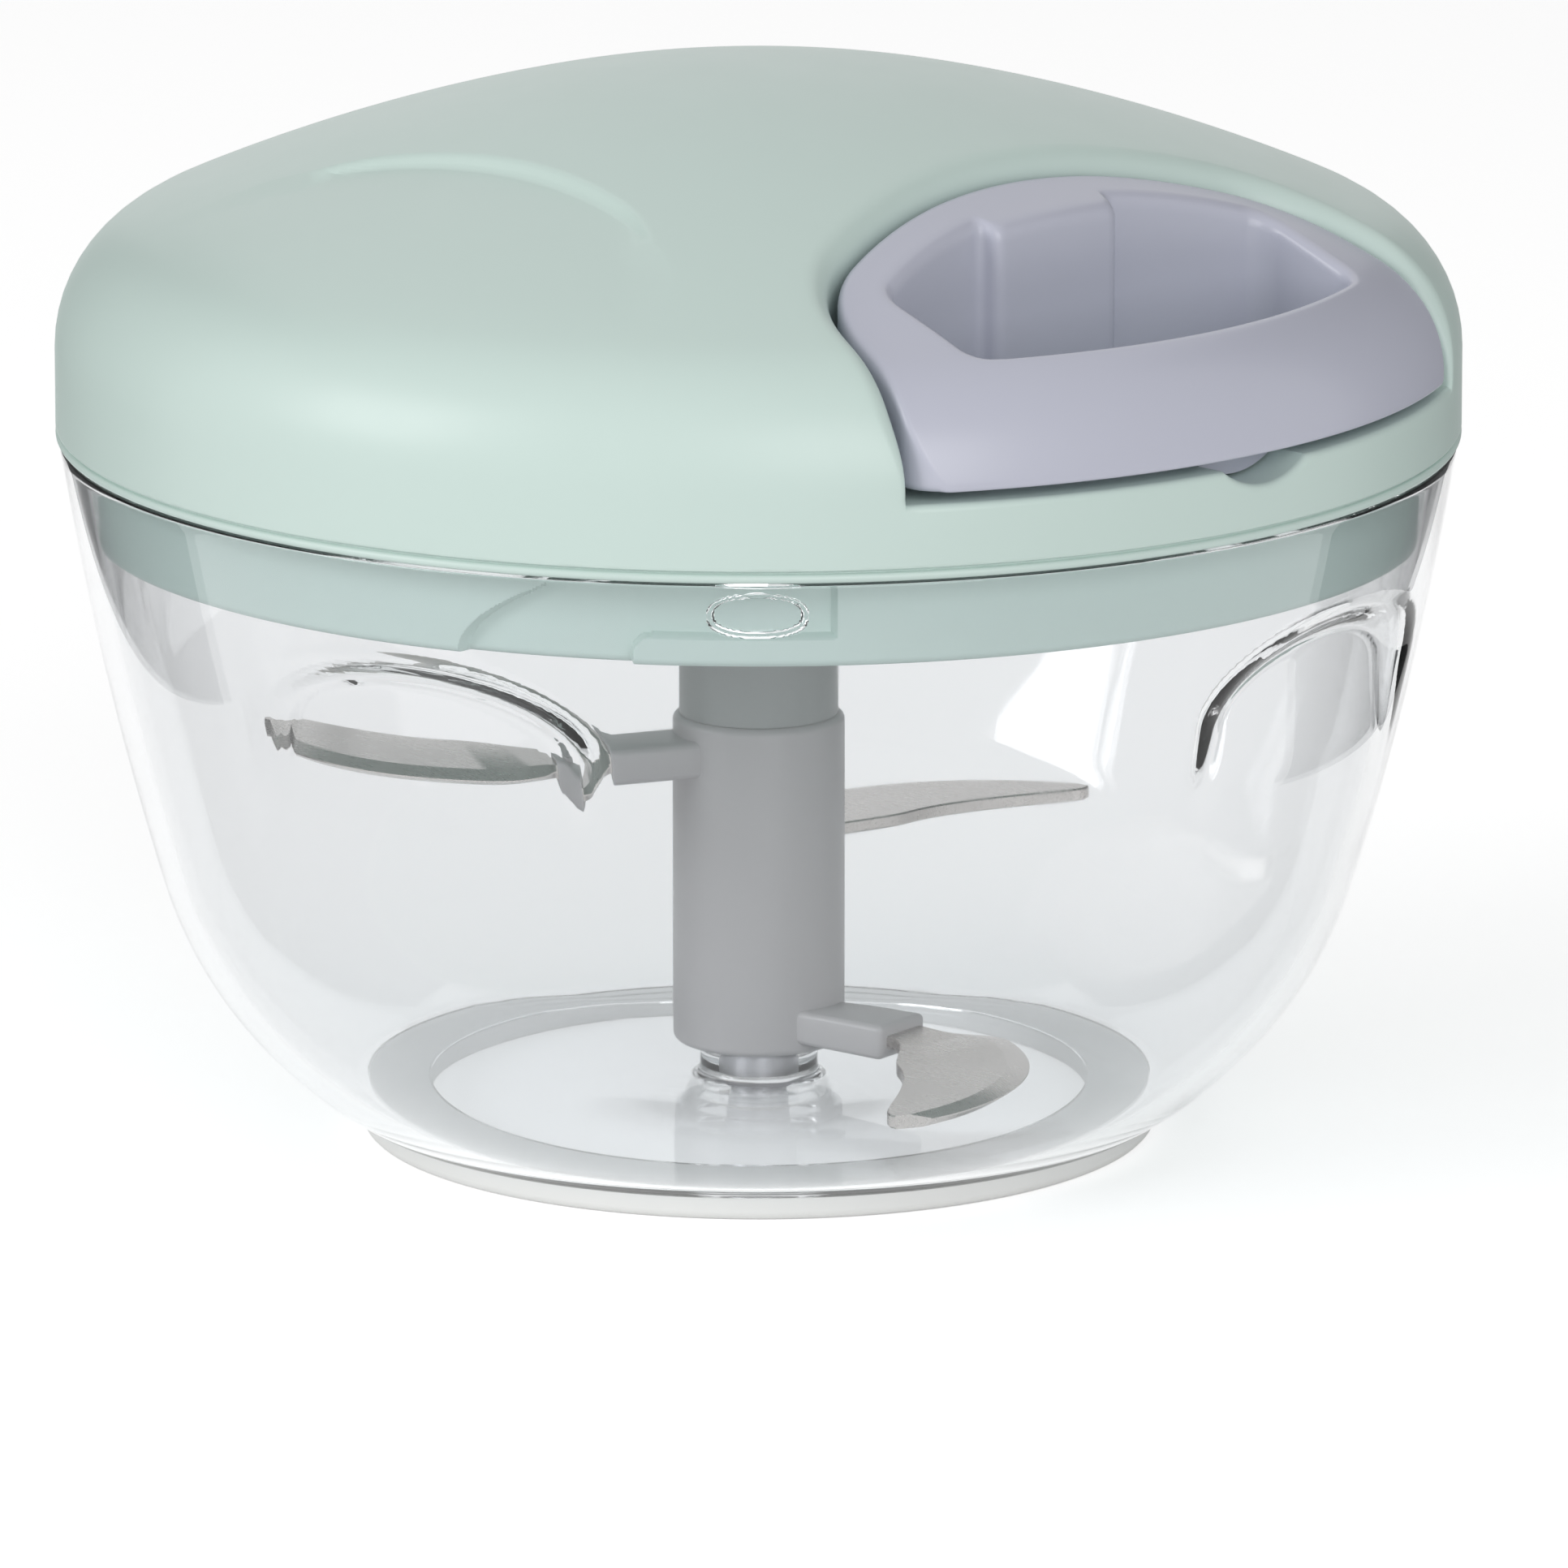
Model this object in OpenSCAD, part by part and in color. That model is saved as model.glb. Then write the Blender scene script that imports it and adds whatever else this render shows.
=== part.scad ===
// Pull-string food chopper: a clear bowl, a domed lid with a recoil reel, and a blade shaft.
// Millimetres, +Z up, origin at the middle of the foot. The handle is pulled along +X.

/* [Lid] */
// Outside diameter of the lid
lid_d = 130; // [126:0.5:136]
// Height of the seam between bowl and lid above the table
seam_z = 66; // [62:0.5:72]
// Height of the straight band of the lid
band_h = 8.4; // [7.8:0.1:10]
// Rise of the dome above the band
dome_rise = 25.6; // [24:0.1:27.5]
// Radius of the rounded shoulder of the lid
shoulder_r = 12.9; // [11.5:0.1:14]
// Slope of the dome at the edge of its crown, in degrees
crown_slope = 14; // [12:0.5:15]
// Slope of the dome at the start of its shoulder, in degrees
shoulder_slope = 24; // [23:0.5:26]
// Wall of the lid cover
lid_wall = 2.6; // [2.2:0.1:3]
// Drop of the thumb scoop's surface below the dome
scoop_drop = 1.9; // [1.2:0.1:2.2]
// Spread of that surface at the wall of the lid, which lets the scoop run out on the dome
scoop_out = 6; // [5:0.2:7]

/* [Handle bay] */
// Distance of the inner wall of the bay from the lid axis
bay_inner_x = 30.5; // [29.5:0.5:33]
// Radius of the inner wall of the bay
bay_arc_r = 68.6; // [64:0.2:74]
// Width of the bay at the wall of the lid
bay_mouth_w = 71; // [66:0.5:76]
// Angle at which the ends of the bay flare, in degrees
bay_flare = 15; // [10:1:20]
// Radius of the inner corners of the bay
bay_corner_r = 14; // [10:0.5:16]
// Height of the bay floor above the seam
bay_floor_h = 6.8; // [6:0.1:7.6]
// Wall of the bay inside the lid
bay_wall = 1.8; // [1.4:0.1:2.4]

/* [Pull handle] */
// Gap between the handle and the walls of the bay
handle_gap = 0.8; // [0.5:0.1:1.2]
// Gap between the handle and the floor of the bay
handle_lift = 1; // [0.6:0.1:1.6]
// Depth of the top of the handle below the dome
handle_drop = 1.5; // [0.8:0.1:2.5]
// Thickness of the inner bar of the handle
handle_bar = 4.7; // [4:0.1:6]
// Depth of the outer grip of the handle
handle_grip = 7.3; // [6.5:0.1:9]
// Width of the finger hole
finger_w = 49; // [44:1:52]
// Corner radius of the finger hole
finger_r = 3; // [2:0.5:5]
// Width of the cord boss on the inner bar
boss_w = 16; // [13:0.5:20]
// Reach of the cord boss into the finger hole
boss_reach = 2.6; // [2.2:0.1:4]
// Skin of the boss in front of the knot
boss_skin = 1.2; // [0.8:0.1:1.6]
// Radius of the locating tab under the grip
tab_r = 8.6; // [7:0.1:10]
// Depth of the locating tab below the bay floor
tab_depth = 1.5; // [1:0.1:2]
// Distance of the face of the tab inside the wall of the lid
tab_step = 4.4; // [3:0.1:5]

/* [Bowl] */
// Diameter of the foot ring
foot_d = 74; // [68:0.5:80]
// Width of the foot ring
foot_w = 6; // [4:0.5:8]
// Height of the bowl's underside above the table
foot_h = 2.4; // [1.6:0.1:3]
// Depth of the groove that holds the foot ring
foot_groove = 0.6; // [0.4:0.1:1]
// Radius of the round base of the bowl
base_r = 38; // [34:0.5:42]
// Lean of the base at the foot, in degrees from upright
base_lean = 59.5; // [56:0.5:63]
// Lean of the wall where it meets the base, in degrees from upright
wall_lean = 16.5; // [15:0.5:20]
// Wall of the bowl
bowl_wall = 1.8; // [1.4:0.1:2.2]
// Thickness of the bowl floor
floor_t = 1.8; // [1.6:0.1:2.6]
// Depth of a finger scallop at its top
scallop_depth = 3.2; // [2:0.1:4]
// Width of a finger scallop
scallop_w = 33; // [28:1:38]
// Distance of the top of a scallop below the skirt of the lid
scallop_drop = 2.6; // [2.4:0.1:5]
// Height of a scallop
scallop_h = 24; // [20:0.5:27]
// Height of the round top of a scallop
scallop_round = 7; // [5:0.5:10]

/* [Bayonet] */
// Gap between the skirt of the lid and the narrowest place of the bowl wall beside it
skirt_gap = 0.2; // [0.15:0.05:0.6]
// Height of the skirt below the seam
skirt_h = 8.2; // [7.8:0.1:10]
// Wall of the skirt
skirt_wall = 2.4; // [2:0.1:3]
// Depth of the bayonet tracks in the skirt
track_depth = 1.3; // [0.9:0.1:1.6]
// Width of a bayonet lug
lug_w = 8.4; // [7:0.2:10]
// Height of a bayonet lug
lug_h = 3.6; // [3:0.1:4.2]
// Distance of the middle of a lug below the seam
lug_drop = 3.3; // [2.9:0.1:3.6]
// Running gap round a lug in its track
lug_gap = 0.3; // [0.2:0.05:0.5]
// Turn that locks the lid, in degrees
lock_turn = 18; // [15:0.5:22]

/* [Cord and reel] */
// Diameter of the cord
cord_d = 1.9; // [1.5:0.1:2.1]
// Diameter of the drum of the reel
drum_d = 35; // [33:0.5:37]
// Diameter of the flanges of the reel
flange_d = 48; // [44:0.5:50]
// Thickness of the lower flange of the reel
flange_t = 1.8; // [1.2:0.1:2.4]
// Thickness of the upper flange and of the spring cap
cap_t = 1.2; // [1:0.1:1.8]
// Height of the cord space between the flanges
cord_space = 7.8; // [7:0.1:9]
// Height of the hub of the reel
hub_h = 3.4; // [3:0.1:4.2]
// Wall of the drum round the spring
drum_wall = 2; // [1.4:0.1:2.6]
// Diameter of the arbor in the lid
arbor_d = 10; // [9:0.2:11]
// Diameter of the journal that the reel turns on
journal_d = 8; // [7:0.1:8.6]
// Number of turns of the recoil spring
spring_turns = 6; // [4:1:7]
// Thickness of the spring strip
spring_t = 0.5; // [0.3:0.05:0.6]
// Diameter of the knot in the cord
knot_d = 3.6; // [3.2:0.1:4]

/* [Drive] */
// Thickness of the lid base plate
plate_t = 2; // [1.6:0.1:2.6]
// Diameter of the coupler's journal in the lid base
coupler_d = 12; // [11:0.2:13]
// Wall of the drive bush
bush_wall = 2.3; // [1.8:0.1:3]
// Length of the drive bush below the seam
bush_h = 7; // [6:0.1:7.6]
// Wall of the bearing boss in the lid base
bearing_wall = 2.6; // [2:0.1:4]
// Radius to the tips of the ratchet teeth
ratchet_r = 14; // [13.6:0.1:14.6]
// Depth of the ratchet teeth
ratchet_depth = 1.8; // [1.5:0.1:2]
// Wall of the ratchet cup
cup_wall = 1.6; // [1.2:0.1:2.2]
// Number of ratchet teeth, a multiple of three
ratchet_n = 9; // [9:3:12]
// Radius of the circle of pawl pins
pawl_r = 11; // [10.6:0.1:11.2]
// Thickness of a pawl
pawl_t = 4; // [3.4:0.1:4.4]
// Diameter of a pawl pin
pawl_pin_d = 2.4; // [2:0.1:2.8]
// Width of the hexagon post across its corners
hex_d = 9.4; // [8.4:0.1:10]
// Length of the hexagon post
hex_l = 11.5; // [9:0.5:12.5]

/* [Blade shaft] */
// Diameter of the shaft
shaft_d = 16; // [14:0.5:18]
// Height of the top of the shaft column above the table
shaft_top = 39.4; // [38.6:0.2:41]
// Diameter of the collar
collar_d = 14.8; // [13.6:0.2:15.6]
// Length of the collar
collar_l = 16.4; // [15:0.2:17]
// Diameter of the pin in the bowl floor
pin_d = 5; // [4:0.1:6]
// Length of that pin above the floor boss
pin_l = 12; // [10:0.5:14]
// Height of the floor boss that holds the pin
floor_boss_h = 3; // [2:0.1:3.4]
// Wall of the bush in the shaft
shaft_bush_wall = 2; // [1.5:0.1:2.4]

/* [Blades] */
// Height of the lower blade above the table
blade_low_z = 10.4; // [10:0.2:12]
// Height between two blades
blade_step = 12.8; // [11:0.2:13]
// Length of the arms that hold the blades, from the shaft axis
arm_l = 17; // [14:0.5:20]
// Width of an arm
arm_w = 7; // [6:0.2:9]
// Thickness of an arm
arm_t = 3.4; // [2.8:0.1:4]
// Radius to the tip of the upper and middle blades
blade_r = 47; // [42:0.5:49]
// Radius to the tip of the lower blade
blade_low_r = 41; // [37:0.5:42]
// Width of a blade
blade_w = 15; // [11:0.5:17]
// Thickness of a blade
blade_t = 1.2; // [0.8:0.1:1.6]
// Angle by which the tip of a blade trails its root, in degrees
blade_sweep = 32; // [15:1:40]

/* [Fasteners] */
// Diameter of the screws
screw_d = 2.9; // [2.5:0.1:3.2]
// Diameter of the screw heads
head_d = 6; // [5.4:0.1:6.6]
// Height of the screw heads
head_h = 1.8; // [1.4:0.1:2.2]
// Length of the cover screws under the head
screw_l = 11; // [9:0.5:13]
// Radius of the circle of cover screws
screw_r = 50; // [47:0.5:53]

/* [Hidden] */
$fn = 96;

// Gaps between pieces
run_gap = 0.05;
hex_gap = 0.2;
press_gap = 0.02;
face_gap = 0.1;
rim_gap = 0.25;
spring_gap = 0.3;
guide_gap = 0.35;
air_gap = 0.4;
pawl_gap = 0.7;
cut_over = 1;

// Steps between pieces that stand beside each other
rim_step = 0.3;
base_step = 1.3;
clip_step = 0.8;
hub_step = 0.2;

// Dome of the lid: crown, flank and shoulder arcs that meet in tangents
lid_r = lid_d / 2;
band_z = seam_z + band_h;
top_z = band_z + dome_rise;
flank_end_r = lid_r - shoulder_r * (1 - sin(shoulder_slope));
flank_drop = dome_rise - shoulder_r * cos(shoulder_slope);
sin_step = sin(shoulder_slope) - sin(crown_slope);
cos_step = cos(crown_slope) - cos(shoulder_slope);
dome_det = sin(crown_slope) * cos_step - (1 - cos(crown_slope)) * sin_step;
crown_r = (flank_end_r * cos_step - flank_drop * sin_step) / dome_det;
flank_r = (flank_drop * sin(crown_slope) - flank_end_r * (1 - cos(crown_slope))) / dome_det;
crown_c = [0, top_z - crown_r];
flank_c = crown_c + (crown_r - flank_r) * [sin(crown_slope), cos(crown_slope)];
shoulder_c = [lid_r - shoulder_r, band_z];

// Bay outline: a wide arc, two round corners and two flared ends
bay_floor_z = seam_z + bay_floor_h;
bay_arc_c = [bay_inner_x + bay_arc_r, 0];
bay_mouth = [sqrt(lid_r * lid_r - bay_mouth_w * bay_mouth_w / 4), bay_mouth_w / 2];
bay_end_dir = [cos(bay_flare), sin(bay_flare)];
bay_end_out = [-sin(bay_flare), cos(bay_flare)];
bay_far = lid_r / 2;
corner_from = bay_mouth - bay_corner_r * bay_end_out - bay_arc_c;
corner_along = corner_from * bay_end_dir;
corner_reach = bay_arc_r - bay_corner_r;
corner_gap = corner_reach * corner_reach - corner_from * corner_from;
corner_t = -corner_along - sqrt(corner_along * corner_along + corner_gap);
bay_corner_c = bay_arc_c + corner_from + corner_t * bay_end_dir;
bay_half_angle = atan2(bay_corner_c.y, bay_arc_c.x - bay_corner_c.x);
scoop_angle = -90;
scoop_spread = 1 + scoop_out / lid_r;

// Bowl profile: a round base and a gently curved wall that meet in a tangent
foot_r = foot_d / 2;
base_edge_r = foot_r + base_step;
rim_r = lid_r - rim_step;
rim_z = seam_z - rim_gap;
floor_z = foot_h + floor_t;
base_c = [base_edge_r - base_r * cos(base_lean), foot_h + base_r * sin(base_lean)];
wall_foot = base_c + base_r * [cos(wall_lean), -sin(wall_lean)];
wall_chord = [rim_r, rim_z] - wall_foot;
rim_lean = 2 * atan2(wall_chord.x, wall_chord.y) - wall_lean;
wall_r = norm(wall_chord) / (2 * sin((wall_lean - rim_lean) / 2));
wall_c = wall_foot - wall_r * [cos(wall_lean), -sin(wall_lean)];
scallop_top = seam_z - skirt_h - scallop_drop;
scallop_r = wall_radius(scallop_top) - scallop_depth;
scallop_n = 4;
scallop_angle = 13.8;

// Bayonet
skirt_z = seam_z - skirt_h;
skirt_r = min(wall_radius(skirt_z, bowl_wall), wall_radius(rim_z, bowl_wall)) - skirt_gap;
track_r = skirt_r - track_depth;
lug_tip_r = track_r + lug_gap;
lug_z = seam_z - lug_drop;
lug_angle = -45;
lug_n = 3;
lug_span = lug_w / skirt_r * 180 / PI;
stop_angle = 2.5;
entry_span = lug_span + 2 * stop_angle + 2;

// Heights of the drive and the reel, from the seam upwards
plate_top = seam_z + plate_t;
plate_r = lid_r - lid_wall - face_gap;
bush_flange_t = 1;
cup_z = plate_top + bush_flange_t + face_gap;
cup_floor_t = 1.2;
pawl_z = cup_z + cup_floor_t + pawl_gap;
reel_z = pawl_z + pawl_t + air_gap;
cup_h = reel_z - cup_z - air_gap;
cord_z = reel_z + flange_t + cord_space / 2;
reel_top = reel_z + flange_t + cord_space + cap_t;
hub_top = reel_z + hub_h;
arbor_foot = hub_top + hub_step;
journal_foot = reel_z - face_gap;
arbor_r = arbor_d / 2;
journal_r = journal_d / 2;
drum_r = drum_d / 2;
cavity_r = drum_r - drum_wall;
washer_t = 1;
washer_r = 6.2;
reel_screw_l = 10;

// Cord: its turns on the drum, its guide and its knot
cord_r = cord_d / 2;
guide_r = cord_r + guide_gap;
eyelet_wall = 1.1;
eyelet_r = guide_r + eyelet_wall;
eyelet_flange_w = 1.6;
eyelet_flange_r = eyelet_r + eyelet_flange_w;
eyelet_flange_t = 1;
bay_inner_face = bay_inner_x - bay_wall;
winding_r = drum_r + cord_d;
knot_r = knot_d / 2;
handle_back = bay_inner_x + handle_gap;
boss_face = handle_back + handle_bar + boss_reach;
knot_pocket_r = knot_r + air_gap;
knot_seat = boss_face - boss_skin - 2 * knot_pocket_r;
knot_x = knot_seat + sqrt(knot_r * knot_r - guide_r * guide_r) + press_gap;
cord_route = [
  [19.6, -7], [22, -4.8], [24, -3], [25.6, -1.6], [26.8, -0.7], [28, -0.2], [29.5, 0],
  [31, 0], [32.3, 0]
];
cord_sides = 8;

// Handle
handle_z = bay_floor_z + handle_lift;
grip_r = lid_r - handle_grip;
finger_arc_r = bay_arc_r - handle_gap - handle_bar;
finger_half = finger_w / 2;
tab_z = bay_floor_z + tab_r - tab_depth;

// Drive
coupler_r = coupler_d / 2;
bush_r = coupler_r + bush_wall;
bearing_r = bush_r + bearing_wall;
bush_z = seam_z - bush_h;
clip_t = 1;
clip_z = bush_z - face_gap - clip_t;
clip_w = 1.8;
clip_r = coupler_r + clip_w;
clip_seat_r = coupler_r - clip_step;
journal_end = clip_z - clip_step;
hex_r = hex_d / 2;
cup_r = ratchet_r + ratchet_depth + cup_wall;
pawl_angle = 40;
pawl_tip_r = ratchet_r + ratchet_depth / 2;
tooth_angle = 6;
pawl_nose = 1.9;
rake_angle = 18;
tooth_step = 360 / ratchet_n;
pawl_pin_r = pawl_pin_d / 2;
pawl_eye_wall = 1.2;
pawl_eye_r = pawl_pin_r + pawl_eye_wall;

// Blade shaft
shaft_r = shaft_d / 2;
floor_boss_top = floor_z + floor_boss_h;
shaft_foot = floor_boss_top + air_gap;
pin_r = pin_d / 2;
pin_top = floor_boss_top + pin_l;
pin_room = 1;
tang_wall = 0.6;
arm_cheek = 1;
floor_boss_wall = 3;
floor_boss_r = pin_r + floor_boss_wall;
bush_in_r = pin_r + run_gap;
bush_out_r = bush_in_r + shaft_bush_wall;
shaft_bore_top = pin_top + pin_room;
blade_root_r = bush_out_r + tang_wall;
tang_w = arm_w - 2 * arm_cheek;
blade_angle = 247;
blade_stations = 12;

// Screws
pilot_r = screw_d / 2 + press_gap;
screw_boss_wall = 2;
screw_boss_r = screw_d / 2 + screw_boss_wall;
screw_angles = [75, 150, 210, 285];

// Points of an arc after its first one
function arc(c, r, a0, a1, n) =
  [for (i = [1:n]) let (a = a0 + (a1 - a0) * i / n) c + r * [cos(a), sin(a)]];

// Unit vector along v
function unit(v) = v / norm(v);

// Points of a fillet of radius r at corner p1, or the corner itself
function fillet(p0, p1, p2, r) =
  r == 0 ? [p1] :
  let (u = unit(p0 - p1), w = unit(p2 - p1), half = acos(u * w) / 2, c = p1 + unit(u + w) * r / sin(half))
  let (s = p1 + u * r / tan(half) - c, turn = (180 - 2 * half) * sign(cross(p1 - p0, p2 - p1)))
  [for (i = [0:4]) let (a = atan2(s.y, s.x) + turn * i / 4) c + r * [cos(a), sin(a)]];

// Outline through points [x, y, corner radius]
function rounded(p) =
  let (n = len(p), q = [for (v = p) [v.x, v.y]])
  [for (i = [0:n - 1]) each fillet(q[(i + n - 1) % n], q[i], q[(i + 1) % n], p[i][2])];

// Dome line from the apex to the band, moved inwards by d
function dome_line(d) = concat(
  [[0, top_z - d]],
  arc(crown_c, crown_r - d, 90, 90 - crown_slope, 4),
  arc(flank_c, flank_r - d, 90 - crown_slope, 90 - shoulder_slope, 3),
  arc(shoulder_c, shoulder_r - d, 90 - shoulder_slope, 0, 7)
);

// Bay outline grown by g, for one side of the X axis
function bay_side(g) = concat(
  arc(bay_arc_c, bay_arc_r + g, 180, 180 - bay_half_angle, 4),
  arc(bay_corner_c, bay_corner_r + g, 180 - bay_half_angle, 90 + bay_flare, 4),
  [bay_corner_c + (bay_corner_r + g) * bay_end_out + bay_far * bay_end_dir]
);

// Whole bay outline grown by g
function bay_outline(g) =
  let (side = bay_side(g), n = len(side))
  concat([[bay_inner_x - g, 0]], side, [for (i = [n - 1:-1:0]) [side[i].x, -side[i].y]]);

// Wall line of the bowl from its base to its rim, moved inwards by d
function bowl_line(d, lean) = concat(
  [base_c + (base_r - d) * [cos(lean), -sin(lean)]],
  arc(base_c, base_r - d, -lean, -wall_lean, 7),
  arc(wall_c, wall_r - d, -wall_lean, -rim_lean, 7)
);

// Radius of the bowl wall at height z, moved inwards by d
function wall_radius(z, d = 0) =
  wall_c.x + sign(wall_r) * sqrt((wall_r - d) * (wall_r - d) - (wall_c.y - z) * (wall_c.y - z));

// Arch of a scallop, with a round top and straight legs, grown by g
function arch_outline(g) =
  let (half = scallop_w / 2 + g)
  concat(
    [for (i = [0:16]) let (a = 180 * i / 16)
      [half * cos(a), scallop_top - scallop_round + (scallop_round + g) * sin(a)]],
    [[-half, scallop_top - scallop_h], [half, scallop_top - scallop_h]]
  );

// Width of a blade at station s, from 0 at the end of its arm to 1 at its tip
function blade_width(s) =
  let (swell = pow(sin(90 * min(1, s / 0.35)), 2))
  let (taper = s < 0.55 ? 1 : sqrt(1 - 0.94 * pow((s - 0.55) / 0.45, 2)))
  (tang_w + (blade_w - tang_w) * swell) * taper;

// Edge point of a blade at station s, on side -1 or 1
function blade_edge(tip_r, s, side) =
  let (r = arm_l + (tip_r - arm_l) * s, w = side * blade_width(s) / 2, a = -blade_sweep * pow(s, 1.5))
  [r * cos(a) - w * sin(a), r * sin(a) + w * cos(a)];

// Outline of a blade, with its tang in the arm
function blade_outline(tip_r) = concat(
  [[blade_root_r, tang_w / 2], [blade_root_r, -tang_w / 2]],
  [for (i = [0:blade_stations]) blade_edge(tip_r, i / blade_stations, -1)],
  [for (i = [blade_stations:-1:0]) blade_edge(tip_r, i / blade_stations, 1)]
);

// Side of the spiral spring
spring_in = arbor_r + press_gap + spring_t / 2;
spring_out = cavity_r - spring_gap - spring_t / 2;
function spiral(side) =
  [for (i = [0:spring_turns * 20])
    let (k = i / (spring_turns * 20), r = spring_in + (spring_out - spring_in) * k + side * spring_t / 2)
    r * [cos(i * 18), sin(i * 18)]];

// Solid under the dome, moved inwards by d
module dome_solid(d, foot) {
  rotate_extrude()
    polygon(concat(dome_line(d), [[lid_r - d, foot], [0, foot]]));
}

// Prism of the bay outline grown by g
module bay_prism(g, z0, z1) {
  translate([0, 0, z0])
    linear_extrude(z1 - z0)
      polygon(bay_outline(g));
}

// Ring sector between two radii, for lugs and tracks
module sector(r0, r1, z0, z1, a0, a1) {
  reach = 2 * r1;
  translate([0, 0, z0])
    difference() {
      linear_extrude(z1 - z0)
        intersection() {
          circle(r = r1);
          polygon([[0, 0], reach * [cos(a0), sin(a0)], reach * [cos(a1), sin(a1)]]);
        }
      translate([0, 0, -cut_over])
        cylinder(h = z1 - z0 + 2 * cut_over, r = r0);
    }
}

// Shallow thumb scoop that repeats the bay's curve beside it
module scoop() {
  rotate([0, 0, scoop_angle])
    difference() {
      bay_prism(0, band_z, top_z + cut_over);
      rotate_extrude()
        polygon(concat([for (p = dome_line(0)) [scoop_spread * p.x, p.y - scoop_drop]], [[scoop_spread * lid_r, seam_z], [0, seam_z]]));
    }
}

// Solid inside the bowl line, moved inwards by d, from height z0
module bowl_solid(d, lean, z0, z1) {
  rotate_extrude()
    polygon(concat([[0, z0]], bowl_line(d, lean), [[rim_r - d, z1], [0, z1]]));
}

// Finger scallops round the bowl, grown by g
module scallops(g) {
  difference() {
    for (i = [0:scallop_n - 1])
      rotate([90, 0, 90 + scallop_angle + i * 360 / scallop_n])
        linear_extrude(lid_r + cut_over)
          polygon(arch_outline(g));
    translate([0, 0, floor_z])
      cylinder(h = seam_z, r = scallop_r - g);
  }
}

// One screw with its head down
module screw(l) {
  translate([0, 0, -head_h])
    cylinder(h = head_h, d = head_d);
  cylinder(h = l, d = screw_d);
}

// Places of the cover screws
module at_screws() {
  for (a = screw_angles)
    rotate([0, 0, a])
      translate([screw_r, 0, seam_z])
        children();
}

module bowl() {
  inner_lean = asin((base_c.y - floor_z) / (base_r - bowl_wall));
  color([0.94, 0.95, 0.96, 0.35]) {
    difference() {
      union() {
        difference() {
          bowl_solid(0, base_lean, foot_h, rim_z);
          scallops(0);
          difference() {
            bowl_solid(bowl_wall, inner_lean, floor_z, rim_z + cut_over);
            scallops(bowl_wall);
          }
        }
        translate([0, 0, floor_z - cut_over])
          cylinder(h = floor_boss_h + cut_over, r = floor_boss_r);
        for (i = [0:lug_n - 1])
          let (a = lug_angle + i * 360 / lug_n)
            sector(lug_tip_r, wall_radius(lug_z) - bowl_wall / 2,
              lug_z - lug_h / 2, lug_z + lug_h / 2, a - lug_span / 2, a + lug_span / 2);
      }
      translate([0, 0, floor_z])
        cylinder(h = floor_boss_h + cut_over, r = pin_r + press_gap);
      rotate_extrude()
        translate([foot_r - foot_w - press_gap, foot_h - cut_over])
          square([foot_w + 2 * press_gap, foot_groove + cut_over]);
    }
  }
}

module foot_ring() {
  color([0.9, 0.9, 0.89])
    rotate_extrude()
      translate([foot_r - foot_w, 0])
        square([foot_w, foot_h + foot_groove]);
}

module centre_pin() {
  color([0.75, 0.75, 0.76])
    translate([0, 0, floor_z])
      cylinder(h = pin_top - floor_z, r = pin_r);
}

module lid_cover() {
  color([0.8, 0.86, 0.84])
    difference() {
      union() {
        difference() {
          dome_solid(0, seam_z);
          dome_solid(lid_wall, seam_z - cut_over);
        }
        intersection() {
          bay_prism(bay_wall, bay_floor_z - lid_wall, top_z);
          dome_solid(lid_wall / 2, seam_z);
        }
        intersection() {
          union() {
            translate([0, 0, journal_foot])
              cylinder(h = top_z - journal_foot, r = journal_r);
            translate([0, 0, arbor_foot])
              cylinder(h = top_z - arbor_foot, r = arbor_r);
            translate([0, 0, plate_t + press_gap])
              at_screws()
                cylinder(h = top_z - seam_z, r = screw_boss_r);
          }
          dome_solid(lid_wall / 2, seam_z);
        }
      }
      bay_prism(0, bay_floor_z, top_z + cut_over);
      scoop();
      at_screws()
        cylinder(h = screw_l + cut_over, r = pilot_r);
      translate([0, 0, journal_foot - cut_over])
        cylinder(h = reel_screw_l + cut_over, r = pilot_r);
      translate([bay_inner_face - cut_over, 0, cord_z])
        rotate([0, 90, 0])
          cylinder(h = bay_wall + 2 * cut_over, r = eyelet_r + press_gap);
      translate([grip_r, 0, tab_z])
        rotate([0, 90, 0])
          cylinder(h = lid_r, r = tab_r + lug_gap);
    }
}

module lid_base() {
  color([0.79, 0.85, 0.83])
    difference() {
      union() {
        translate([0, 0, seam_z])
          cylinder(h = plate_t, r = plate_r);
        translate([0, 0, bush_z])
          cylinder(h = bush_h + plate_t, r = bearing_r);
        rotate_extrude()
          translate([skirt_r - skirt_wall, skirt_z])
            square([skirt_wall, skirt_h + plate_t / 2]);
      }
      translate([0, 0, bush_z - cut_over])
        cylinder(h = bush_h + plate_t + 2 * cut_over, r = bush_r + press_gap);
      at_screws()
        translate([0, 0, -cut_over])
          cylinder(h = plate_t + 2 * cut_over, r = pilot_r);
      for (i = [0:lug_n - 1])
        bayonet_track(lug_angle + i * 360 / lug_n);
    }
}

// Track of one lug: a slot under the plate and an entry that is open below
module bayonet_track(a) {
  track_top = lug_z + lug_h / 2 + lug_gap;
  stop = a + lug_span / 2 + stop_angle;
  entry = a - lock_turn;
  outside = skirt_r + cut_over;
  sector(track_r, outside, lug_z - lug_h / 2 - lug_gap, track_top, entry - entry_span / 2, stop);
  sector(track_r, outside, skirt_z - cut_over, lug_z, entry - entry_span / 2, entry + entry_span / 2);
}

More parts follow.
